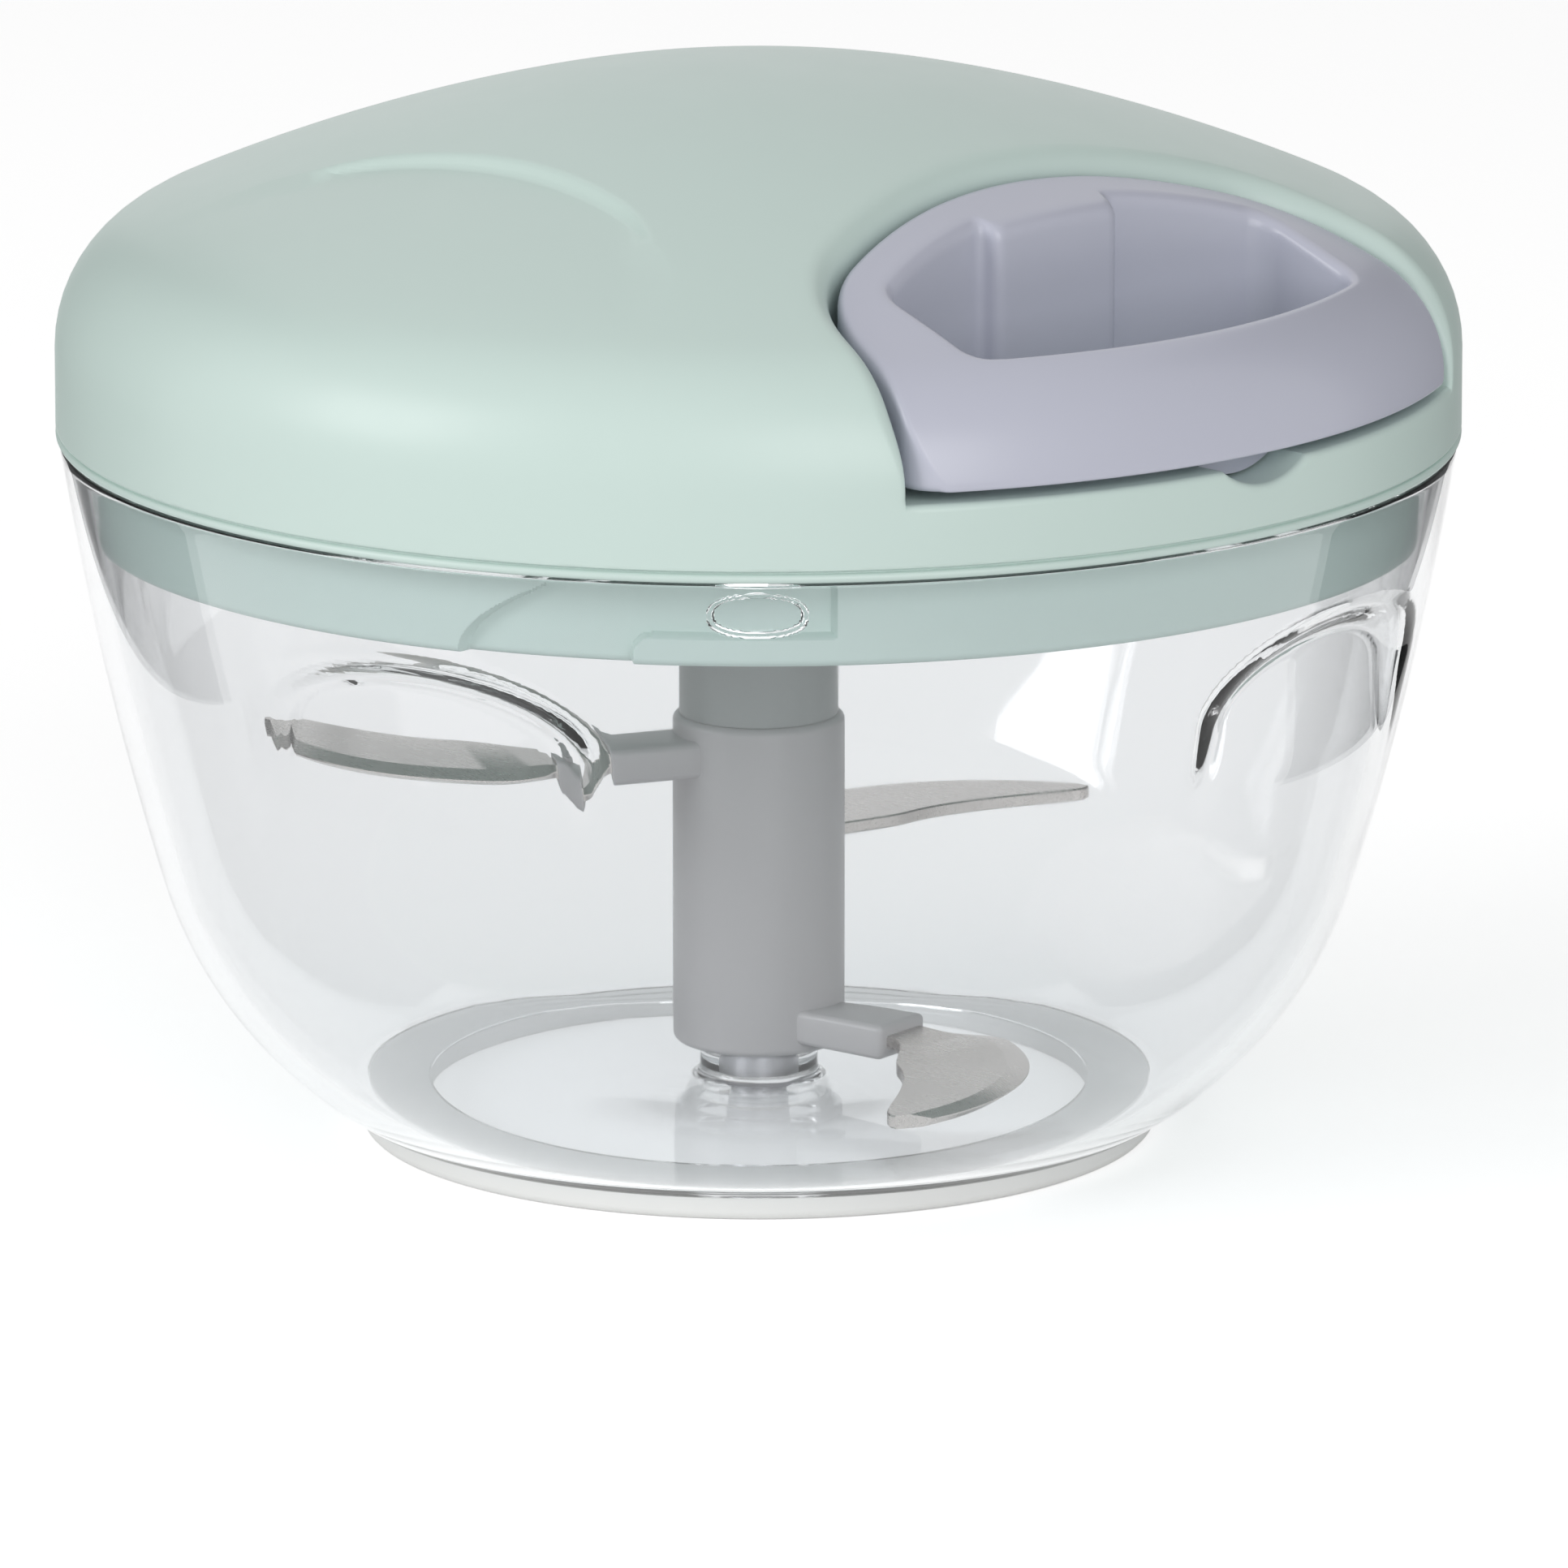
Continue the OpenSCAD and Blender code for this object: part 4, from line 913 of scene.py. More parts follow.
def clear_plastic(name, rgb):
    """Clear polished plastic that lets light through to what stands in it."""
    if name in bpy.data.materials:
        return bpy.data.materials[name]
    material, tree, shader, out = new_material(name)
    shader.inputs["Base Color"].default_value = (*rgb, 1)
    shader.inputs["Transmission Weight"].default_value = 1.0
    shader.inputs["IOR"].default_value = 1.47
    marks = noise(tree, 220.0, 5.0, 0.65)
    wipe = node(tree, "ShaderNodeMapRange")
    wipe.inputs["From Min"].default_value = 0.45
    wipe.inputs["From Max"].default_value = 0.8
    wipe.inputs["To Min"].default_value = 0.015
    wipe.inputs["To Max"].default_value = 0.06
    tree.links.new(marks, wipe.inputs["Value"])
    tree.links.new(wipe.outputs["Result"], shader.inputs["Roughness"])
    ripple = noise(tree, 38.0, 1.0, 0.4)
    relief = node(tree, "ShaderNodeBump", Strength=0.12, Distance=0.0004)
    tree.links.new(ripple, relief.inputs["Height"])
    tree.links.new(relief.outputs["Normal"], shader.inputs["Normal"])
    path = node(tree, "ShaderNodeLightPath")
    unseen = math_node(tree, "MAXIMUM", path.outputs["Is Shadow Ray"], path.outputs["Is Diffuse Ray"])
    see = node(tree, "ShaderNodeBsdfTransparent", Color=(0.93, 0.94, 0.95, 1))
    mix = tree.nodes.new("ShaderNodeMixShader")
    tree.links.new(unseen, mix.inputs["Fac"])
    tree.links.new(shader.outputs["BSDF"], mix.inputs[1])
    tree.links.new(see.outputs["BSDF"], mix.inputs[2])
    tree.links.new(mix.outputs["Shader"], out.inputs["Surface"])
    material.diffuse_color = (*rgb, 0.3)
    return material


def finish_of(context, name):
    """Material of a finish, made on first use."""
    f = sizes(context, "finish")
    makers = {
        "lid_green": lambda: plastic("Satin mint plastic", f.lid_green, f.lid_gloss, 0.012, 0.015, shine=0.4),
        "handle_lilac": lambda: plastic("Satin lilac plastic", f.handle_lilac, f.handle_gloss, 0.012, 0.04),
        "shaft_grey": lambda: plastic("Grey shaft plastic", f.shaft_grey, 0.4, 0.03, 0.08),
        # Collar material: the shaft's grey darkened as painted shade.
        "collar_grey": lambda: plastic("Dark grey plastic", f.collar_grey, 0.42, 0.03, 0.08),
        "reel_white": lambda: plastic("White reel plastic", f.reel_white, 0.45, 0.02, 0.08),
        "bush_ivory": lambda: plastic("Ivory bearing plastic", f.bush_ivory, 0.4, 0.03, 0.06),
        "foot_white": lambda: plastic("Soft white foot", f.foot_white, 0.75, 0.03, 0.2, grain=1500.0),
        "blade_steel": lambda: steel("Brushed blade steel", f.blade_steel, 0.28),
        "screw_steel": lambda: steel("Zinc plated steel", f.screw_steel, 0.35, 0.06),
        "spring_steel": lambda: steel("Blued spring steel", f.spring_steel, 0.3),
        "cord_white": lambda: braid("Braided white cord", f.cord_white),
        "bowl_clear": lambda: clear_plastic("Clear polished plastic", f.bowl_clear),
    }
    return makers[name]()


SEAM_COLUMNS = 360
HOLE_SIDES = 24
SCALLOPS = 4
LUGS = 3
LUG_POWER = 2.4
TRACK_STEP = 0.16
LUG_STEP = 0.15
SCREW_TURNS = [math.radians(t) for t in (75, 150, 210, 285)]


def scoop_drop(lid, bay_line, line, x, y, z):
    """Depth of the thumb scoop at places on the dome: a fold on the bay's outline that runs out."""
    u = x * math.cos(lid.scoop_turn) + y * math.sin(lid.scoop_turn)
    v = y * math.cos(lid.scoop_turn) - x * math.sin(lid.scoop_turn)
    gap = z - line.height(np.hypot(u, v) / (1 + lid.scoop_out / lid.radius)) + lid.scoop_drop
    gap = np.where(z > lid.seam_z + lid.band_h, gap, 0)
    return soft_positive(gap, 0.1, 0.05) * smooth(bay_line.depth(u, v) / lid.scoop_fold)


class LidSkin:
    """One skin of the lid: the dome with the bay let into it, the bay's wall and its floor."""

    def __init__(self, lid, bay_line, inset, grow, floor_z, roll, sill, notch=None, hole=None):
        self.lid, self.bay_line, self.floor_z = lid, bay_line, floor_z
        self.grow, self.out, self.notch, self.hole = grow, lid.radius - inset, notch, hole
        self.outside = inset == 0
        self.line = DomeLine(lid, inset, 3 * lid.bead_r + 0.2 if inset == 0 else 0.0)
        self.roll, self.sill = roll, sill
        self.parts = []
        self.edge_loop()
        self.rolled_edge()
        self.dome()
        self.wall()
        self.floor()

    def place(self, flat):
        """Points in space of places on the unrolled dome."""
        run = np.hypot(flat[:, 0], flat[:, 1])
        turn = np.arctan2(flat[:, 1], flat[:, 0])
        r, z = self.line.at(run)
        x, y = r * np.cos(turn), r * np.sin(turn)
        if self.outside:
            z = z - scoop_drop(self.lid, self.bay_line, self.line, x, y, z)
        return np.column_stack([x, y, z])

    def edge_loop(self):
        """Corner line where dome and bay meet: over the top, down the mouth and along the sill."""
        lid = self.lid
        self.plan = self.bay_line.whole(self.grow, self.out, 0.05)
        z = self.line.height(np.hypot(self.plan[:, 0], self.plan[:, 1]))
        path = np.column_stack([self.plan, z])
        span = np.linalg.norm(np.diff(path, axis=0), axis=1).sum()
        top = resample(path, int(span / 0.9) | 1)
        band_z = lid.seam_z + lid.band_h
        steps = max(3, int((band_z - self.floor_z) / 0.7))
        down = np.linspace(band_z, self.floor_z, steps + 1)[1:]
        mouth = self.plan[-1]
        fall = np.column_stack([np.full(steps, mouth[0]), np.full(steps, mouth[1]), down])
        end = math.atan2(mouth[1], mouth[0])
        turns = np.linspace(end, -end, 2 * int(self.out * end / 1.1) + 1)[1:-1]
        sill = np.column_stack([self.out * np.cos(turns), self.out * np.sin(turns), 0 * turns + self.floor_z])
        if self.notch:
            radius, height, _ = self.notch
            half = math.sqrt(radius**2 - (height - self.floor_z) ** 2)
            sweep = math.asin(half / radius)
            dip = np.linspace(sweep, -sweep, 19)
            y = radius * np.sin(dip)
            groove = np.column_stack([np.sqrt(self.out**2 - y**2), y, height - radius * np.cos(dip)])
            sill = np.vstack([sill[sill[:, 1] > half + 0.3], groove, sill[sill[:, 1] < -half - 0.3]])
            self.notch_half = half
        rise = (fall * [1, -1, 1])[::-1]
        self.loop = np.vstack([top, fall, sill, rise])
        self.marks = np.cumsum([len(top), len(fall), len(sill)])

    def rolled_edge(self):
        """Rounds the corner line off into the dome and into the bay."""
        loop = self.loop
        top, corner, low = self.marks
        ahead = np.roll(loop, -1, 0) - np.roll(loop, 1, 0)
        ahead /= np.linalg.norm(ahead, axis=1)[:, None]
        reach = np.hypot(loop[:, 0], loop[:, 1])
        run = self.line.nearest(reach, loop[:, 2])
        r0, z0 = self.line.at(run - 0.05)
        r1, z1 = self.line.at(run + 0.05)
        radial = loop[:, :2] / reach[:, None]
        normal = np.column_stack([radial * (z0 - z1)[:, None], r1 - r0])
        normal /= np.linalg.norm(normal, axis=1)[:, None]
        away = np.cross(normal, ahead)
        if away[top // 2][0] > 0:
            away = -away
        flat_run = np.gradient(self.plan, axis=0)
        inward = np.column_stack([flat_run[:, 1], -flat_run[:, 0], np.zeros(len(flat_run))])
        inward /= np.linalg.norm(inward, axis=1)[:, None]
        if inward[len(inward) // 2][0] < 0:
            inward = -inward
        face = inward[::8][nearest_places(loop, self.plan[::8])]
        face[corner:low] = [0, 0, 1]
        down = np.cross(ahead, face)
        along = np.append(self.bay_line.along, 0)
        down[corner - 1] = -along
        down[low] = -along * [1, -1, 1]
        down /= np.linalg.norm(down, axis=1)[:, None]
        size = self.sill + (self.roll - self.sill) * smooth((loop[:, 2] - self.floor_z - 1) / 8)
        size[corner - 1:low + 1] = self.sill
        a = loop + away * size[:, None]
        run = self.line.nearest(np.hypot(a[:, 0], a[:, 1]), a[:, 2])
        turn = np.arctan2(a[:, 1], a[:, 0])
        self.flat_loop = np.column_stack([run * np.cos(turn), run * np.sin(turn)])
        self.outer = self.place(self.flat_loop)
        self.inner = loop + down * size[:, None]
        if self.roll == 0:
            self.inner = self.outer
            return
        slope = np.linspace(0, math.pi / 2, 9)
        out, back = self.outer - loop, self.inner - loop
        rows = [loop + out * (1 - math.sin(s)) + back * (1 - math.cos(s)) for s in slope]
        rows[0], rows[-1] = self.outer, self.inner
        self.parts.append((np.vstack(rows), grid_faces(len(rows), len(loop))))

    def dome(self):
        """Dome, shoulder and band in triangles round the bay."""
        line = self.line
        turn = np.arange(SEAM_COLUMNS) * TAU / SEAM_COLUMNS
        ring = np.column_stack([np.cos(turn), np.sin(turn)])
        spots = [[[0.0, 0.0]]]
        for k, run in enumerate(np.arange(1.4, line.total - 2.0, 1.4)):
            count = max(6, int(TAU * max(line.at(run)[0], 1.2) / 1.6))
            around = (np.arange(count) + 0.5 * (k % 2)) * TAU / count
            spots.append(run * np.column_stack([np.cos(around), np.sin(around)]))
        spots.append(ring * (line.total - 1.0))
        spots = np.vstack(spots)
        keep = ~inside(self.flat_loop, spots)
        gap = np.linalg.norm(spots[:, None, :] - self.flat_loop[None, :, :], axis=2).min(1)
        spots = spots[keep & (gap > 0.9)]
        if self.outside:
            spots = self.add_folds(spots)
        loops = [(self.flat_loop, True), (ring * line.total, True)]
        flat, tris = fill_plane(loops, spots, lambda mid: ~inside(self.flat_loop, mid))
        self.parts.append((self.place(flat), tris))
        r, z = line.at(line.total)
        self.seam = np.column_stack([r * ring, np.full(SEAM_COLUMNS, z)])
        if self.outside:
            self.lower_edge(ring, z)

    def lower_edge(self, ring, top):
        """Groove and bead along the lower edge of the band."""
        lid, out = self.lid, self.out
        foot, r = lid.seam_z, lid.bead_r
        bead = arc_points((out - r, foot + r), r, math.pi / 2, -math.pi / 2, 13)
        line = rounded_line([
            (out, top), (out, foot + 2 * r + 0.32, 0.1), (out - lid.groove, foot + 2 * r + 0.2, 0.06),
            (out - lid.groove, foot + 2 * r, 0.06), tuple(bead[1]),
        ], 5)[:-1] + [tuple(p) for p in bead[1:]]
        rows = [np.column_stack([p[0] * ring, np.full(SEAM_COLUMNS, p[1])]) for p in line]
        self.parts.append((np.vstack(rows), grid_faces(len(rows), SEAM_COLUMNS)))
        self.seam = rows[-1]

    def add_folds(self, spots):
        """Swaps the points on the fold of the scoop for rows that follow it."""
        lid, line = self.lid, self.line
        band_z = lid.seam_z + lid.band_h
        r, z = line.at(np.hypot(spots[:, 0], spots[:, 1]))
        bearing = np.arctan2(spots[:, 1], spots[:, 0])
        rows = []
        peak = int(np.argmax(line.line[:, 0] >= self.out - 1e-6))
        turn = lid.scoop_turn
        depth = self.bay_line.depth(r * np.cos(bearing - turn), r * np.sin(bearing - turn))
        near = (depth > -0.9) & (depth < lid.scoop_fold + 0.6) & (z > band_z + 0.5)
        for d in np.arange(-0.3, lid.scoop_fold + 0.25, 0.25):
            edge = self.bay_line.whole(-d, self.out * 0.9995, 1.0)
            reach = np.hypot(edge[:, 0], edge[:, 1])
            run = np.interp(reach, line.line[: peak + 1, 0], line.run[: peak + 1])
            around = np.arctan2(edge[:, 1], edge[:, 0]) + turn
            row = np.column_stack([run * np.cos(around), run * np.sin(around)])
            rows.append(row[line.at(run)[1] > band_z + 0.9])
        return np.vstack([spots[~near]] + rows)

    def wall(self):
        """Upright wall of the bay, with the hole for the cord's eyelet."""
        _, corner, low = self.marks
        step = np.linalg.norm(np.diff(self.plan, axis=0), axis=1)
        run = np.concatenate([[0], np.cumsum(step)])
        edge = np.vstack([self.inner[low:], self.inner[:corner]])
        upper = np.column_stack([run[nearest_places(edge, self.plan)], edge[:, 2]])
        upper[[0, -1], 1] = self.floor_z
        count = int((upper[-1, 0] - upper[0, 0]) / 1.4)
        across = np.linspace(upper[-1, 0], upper[0, 0], count)[1:-1]
        lower = np.column_stack([across, np.full(count - 2, self.floor_z)])
        loop = np.vstack([upper, lower])
        loops = [(loop, True)]
        hole = None
        if self.hole:
            radius, height = self.hole
            turn = np.arange(HOLE_SIDES) * TAU / HOLE_SIDES
            hole = np.column_stack([run[-1] / 2 + radius * np.cos(turn), height + radius * np.sin(turn)])
            loops.append((hole, True))
        u, v = np.meshgrid(np.arange(2, run[-1] - 2, 2.2), np.arange(self.floor_z + 2, loop[:, 1].max(), 2.4))
        spots = np.column_stack([u.ravel(), v.ravel()])
        gap = np.linalg.norm(spots[:, None, :] - np.vstack([p for p, _ in loops])[None], axis=2).min(1)
        spots = spots[inside(loop, spots) & (gap > 0.9)]
        if self.hole:
            spots = spots[~inside(hole, spots)]

        def keep(mid):
            good = inside(loop, mid)
            return good & ~inside(hole, mid) if self.hole else good

        def lift(flat):
            x, y = (np.interp(flat[:, 0], run, self.plan[:, k]) for k in (0, 1))
            return np.column_stack([x, y, flat[:, 1]])

        flat, tris = fill_plane(loops, spots, keep)
        self.parts.append((lift(flat), tris))
        self.hole_ring = lift(hole) if self.hole else None
        self.foot = lift(np.vstack([upper[-1:], lower, upper[:1]]))[::-1, :2]

    def floor(self):
        """Floor of the bay, with the notch for the handle's tab."""
        _, corner, low = self.marks
        sill = self.inner[corner:low]
        if self.notch:
            half, (_, _, back) = self.notch_half, self.notch
            groove = sill[np.abs(sill[:, 1]) < half + 0.05]
            left, right = sill[sill[:, 1] > half + 0.05], sill[sill[:, 1] < -half - 0.05]
            cut = [groove[0][:2], [back, groove[0][1]], [back, groove[-1][1]], groove[-1][:2]]
            loop = np.vstack([self.foot, left[:, :2], cut, right[:, :2]])
            rear = groove.copy()
            rear[:, 0] = back
            count = len(groove)
            self.parts.append((np.vstack([groove, rear]), grid_faces(2, count, wrap_columns=False)))
            self.parts.append((rear, [tuple(range(count))]))
        else:
            loop = np.vstack([self.foot, sill[:, :2]])
        flat, tris = fill_plane([(loop, True)], [], lambda mid: inside(loop, mid))
        self.parts.append((np.column_stack([flat, np.full(len(flat), self.floor_z)]), tris))


def post(x, y, radius, low, high, columns=32, edge=0.3):
    """Plain round post with a rounded lower end."""
    line = rounded_line([(0, low), (radius, low, edge), (radius, high, 0), (0, high)])
    points, faces = lathe(line, columns)
    return points + [x, y, 0], faces


def lid_cover(context):
    """Domed cover in one closed shell, with the arbor and the screw posts inside."""
    lid, bay, handle = (sizes(context, g) for g in ("lid", "bay", "handle"))
    cord, skirt, screw = (sizes(context, g) for g in ("cord", "skirt", "screws"))
    bay_line = BayLine(lid, bay)
    floor_z = lid.seam_z + bay.floor_h
    notch = (
        handle.tab_r + handle.tab_gap,
        floor_z + handle.tab_r - handle.tab_depth,
        lid.radius - handle.grip,
    )
    hole = (cord.eyelet_r, cord.height)
    outside = LidSkin(lid, bay_line, 0.0, 0.0, floor_z, bay.roll_r, bay.sill_r, notch, hole)
    within = LidSkin(lid, bay_line, lid.wall, bay.wall, floor_z - lid.wall, 0.0, 0.0, None, hole)
    parts = outside.parts + within.parts
    for ring, other in ((outside.seam, within.seam), (outside.hole_ring, within.hole_ring)):
        parts.append((np.vstack([ring, other]), grid_faces(2, len(ring))))
    piece = build(context, "lid_cover_shell", parts, "lid", "lid_green", "lid_cover", weld=0.04)
    inner = DomeLine(lid, lid.wall / 2)
    posts = [
        post(0, 0, lid.arbor_r, lid.arbor_z, inner.height(0.0)),
        post(0, 0, lid.journal_r, lid.journal_z, lid.arbor_z + 0.6),
    ]
    for turn in SCREW_TURNS:
        x, y = polar(screw.circle_r, turn)
        top = inner.height(screw.circle_r + lid.post_r + 0.05)
        posts.append(post(x, y, lid.post_r, lid.seam_z + skirt.plate_t + 0.02, top))
    build(context, "lid_posts", posts, "lid", "lid_green")
    return piece


def lid_base(context):
    """Plate, bearing boss and skirt with the three bayonet tracks."""
    lid, s = sizes(context, "lid"), sizes(context, "skirt")
    low = lid.seam_z - s.height
    seat = s.radius - s.wall
    top = lid.seam_z + s.plate_t
    boss = lid.seam_z - s.bearing_h
    line = rounded_line([
        (s.bore_r, lid.seam_z, 0), (s.bore_r, boss, 0.4), (s.bearing_r, boss, 0.6),
        (s.bearing_r, lid.seam_z, 1.2), (seat, lid.seam_z, 1.2), (seat, low, 0.5), (s.radius, low, 0.7),
        (s.radius, lid.seam_z, 0), (s.plate_r, lid.seam_z, 0), (s.plate_r, top, 0.4), (s.bore_r, top, 0.4),
        (s.bore_r, lid.seam_z + 0.2, 0),
    ], 6)
    fine = []
    for p, q in zip(line, line[1:]):
        span = math.dist(p, q)
        dense = abs(p[0] - s.radius) < 0.01 and abs(q[0] - s.radius) < 0.01
        count = max(1, int(span / (TRACK_STEP if dense else 6)))
        fine += [(p[0] + (q[0] - p[0]) * k / count, p[1] + (q[1] - p[1]) * k / count) for k in range(count)]
    lug_z = lid.seam_z - s.lug_drop
    track_low, track_top = lug_z - s.lug_h / 2 - s.lug_gap, lug_z + s.lug_h / 2 + s.lug_gap
    stop, width = s.lug_w / 2 + s.stop_gap, s.lug_w + s.entry_play
    entry = -s.lock_turn * s.radius
    back = entry - width / 2
    places = [s.lug_at + k * TAU / LUGS for k in range(LUGS)]

    def tracks(radius, height, turn):
        """Sinks the tracks into the skirt: a slot, and an entry with a curved lead-in and a rounded ledge."""
        cut = np.zeros_like(radius)
        for place in places:
            x = ((turn - place + math.pi) % TAU - math.pi) * s.radius
            slot_z = np.minimum(height - track_low, track_top - height)
            slot = np.minimum(np.minimum(x - back, stop - x), slot_z)
            rise = np.clip((height - low) / (track_top - low), 0, 1)
            lead = back + s.lead_in * rise**2
            ledge = np.clip((height - track_low) / s.ledge_r + 1, 0, 1)
            corner = s.ledge_r * (1 - np.sqrt(1 - ledge**2))
            door = np.minimum(np.minimum(x - lead, entry + width / 2 + corner - x), track_top - height)
            slot = np.minimum(slot, x - lead)
            cut = np.maximum(cut, smooth(np.maximum(slot, door) / s.track_edge + 0.5))
        face = (np.abs(radius - s.radius) < 0.75) & (height < lid.seam_z - 0.01) & (radius > seat + 1.2)
        return radius - np.where(face, cut, 0) * s.track_depth, height

    window = (stop - back) / 2 + 1
    middles = [place + (stop + back) / 2 / s.radius for place in places]
    turns = fine_turns(SEAM_COLUMNS, middles, window / s.radius, TRACK_STEP / s.radius)
    points, faces = lathe(fine, turns, tracks)
    return build(context, "lid_base_skirt", [(points, faces)], "lid", "lid_green", "lid_base")


# Points on the boss, the bar, the corner, the end, its cap and the grip of one half of the handle
STRETCH_POINTS = (26, 14, 16, 10, 14, 30)


def handle_loops(lid, bay, h, bay_line):
    """Matching points of the handle's outline and of its finger hole, both round the whole D."""
    out = lid.radius - 0.1
    arc_r, corner_r = bay.arc_r - h.gap, bay.corner_r - h.gap
    boss_half, boss_face = h.boss_w / 2, bay.inner_x + h.gap + h.bar + h.boss_reach
    centre = bay_line.arc_c
    end_c = bay_line.end_point(-h.gap - h.end_r, out - h.end_r)
    end_turn = math.atan2(end_c[1], end_c[0])
    boss_turn = math.asin(1.15 * boss_half / arc_r)
    corner = arc_points(bay_line.corner_c, corner_r, math.pi - bay_line.half, math.pi / 2 + bay.flare, 40)
    cap = arc_points(end_c, h.end_r, math.pi / 2 + bay.flare, end_turn, 24)
    outline = [
        arc_points(centre, arc_r, math.pi, math.pi - boss_turn, 40),
        arc_points(centre, arc_r, math.pi - boss_turn, math.pi - bay_line.half, 40),
        corner,
        np.vstack([corner[-1], cap[0]]),
        cap,
        arc_points((0, 0), out, end_turn, 0, 60),
    ]
    bar_r, grip_r, half = arc_r - h.bar, lid.radius - h.grip, h.finger_w / 2
    root = np.array([centre[0] - math.sqrt(bar_r**2 - boss_half**2), boss_half])
    inner_end = np.array([centre[0] - math.sqrt(bar_r**2 - half**2), half])
    grip_end = np.array([math.sqrt(grip_r**2 - half**2), half])
    slope = math.asin(half / bar_r)
    behind = inner_end - 6 * np.array([math.sin(slope), math.cos(slope)])
    beyond = polar(grip_r, math.atan2(half, grip_end[0]) - 6 / grip_r)
    near = rounded_line([behind, (*inner_end, h.finger_r), grip_end], 12)[1:-1]
    far = rounded_line([inner_end, (*grip_end, h.finger_r), beyond], 12)[1:-1]
    start = math.atan2(near[0][1], centre[0] - near[0][0])
    stop = math.atan2(far[-1][1], far[-1][0])
    past = math.pi - math.asin(boss_half / bar_r) - 0.05
    boss = rounded_line([
        (boss_face, 0), (boss_face, boss_half, h.boss_edge), (root[0], boss_half, h.boss_root),
        arc_points(centre, bar_r, past, 0, 2)[0],
    ], 8)
    boss_end = math.atan2(boss[-1][1], centre[0] - boss[-1][0])
    hole = [
        np.array(boss),
        arc_points(centre, bar_r, math.pi - boss_end, math.pi - start, 40),
        np.array(near),
        np.vstack([near[-1], far[0]]),
        np.array(far),
        arc_points((0, 0), grip_r, stop, 0, 60),
    ]
    loops = []
    for line in (outline, hole):
        side = [resample(part, n)[1:] for part, n in zip(line, STRETCH_POINTS)]
        side = np.vstack([line[0][:1]] + side)
        loops.append(np.vstack([side, (side * [1, -1])[-2:0:-1]]))
    return loops


def section(path, corner_in, corner_out, counts):
    """Splits a wall-top-wall line at its two corners, rounds them and samples each stretch."""
    wall, top, drop = path

    def cut(line, size, front):
        """Trims a length off one end of a line."""
        line = line if front else line[::-1]
        run = np.concatenate([[0], np.cumsum(np.linalg.norm(np.diff(line, axis=0), axis=1))])
        size = min(size, 0.45 * run[-1])
        p = [np.interp(size, run, line[:, k]) for k in (0, 1)]
        rest = np.vstack([p, line[run > size + 1e-9]])
        return rest if front else rest[::-1]

    def bend(a, c, b, count):
        """Smooth curve from a to b that leans towards the corner c."""
        t = np.linspace(0, 1, count)[:, None]
        return a * (1 - t) ** 2 + 2 * c * t * (1 - t) + b * t * t

    first, last = top[0].copy(), top[-1].copy()
    wall, top = cut(wall, corner_in, False), cut(top, corner_in, True)
    top, drop = cut(top, corner_out, False), cut(drop, corner_out, True)
    stretches = [wall, bend(wall[-1], first, top[0], 30), top, bend(top[-1], last, drop[0], 30), drop]
    return [resample(line, count) for line, count in zip(stretches, counts)]


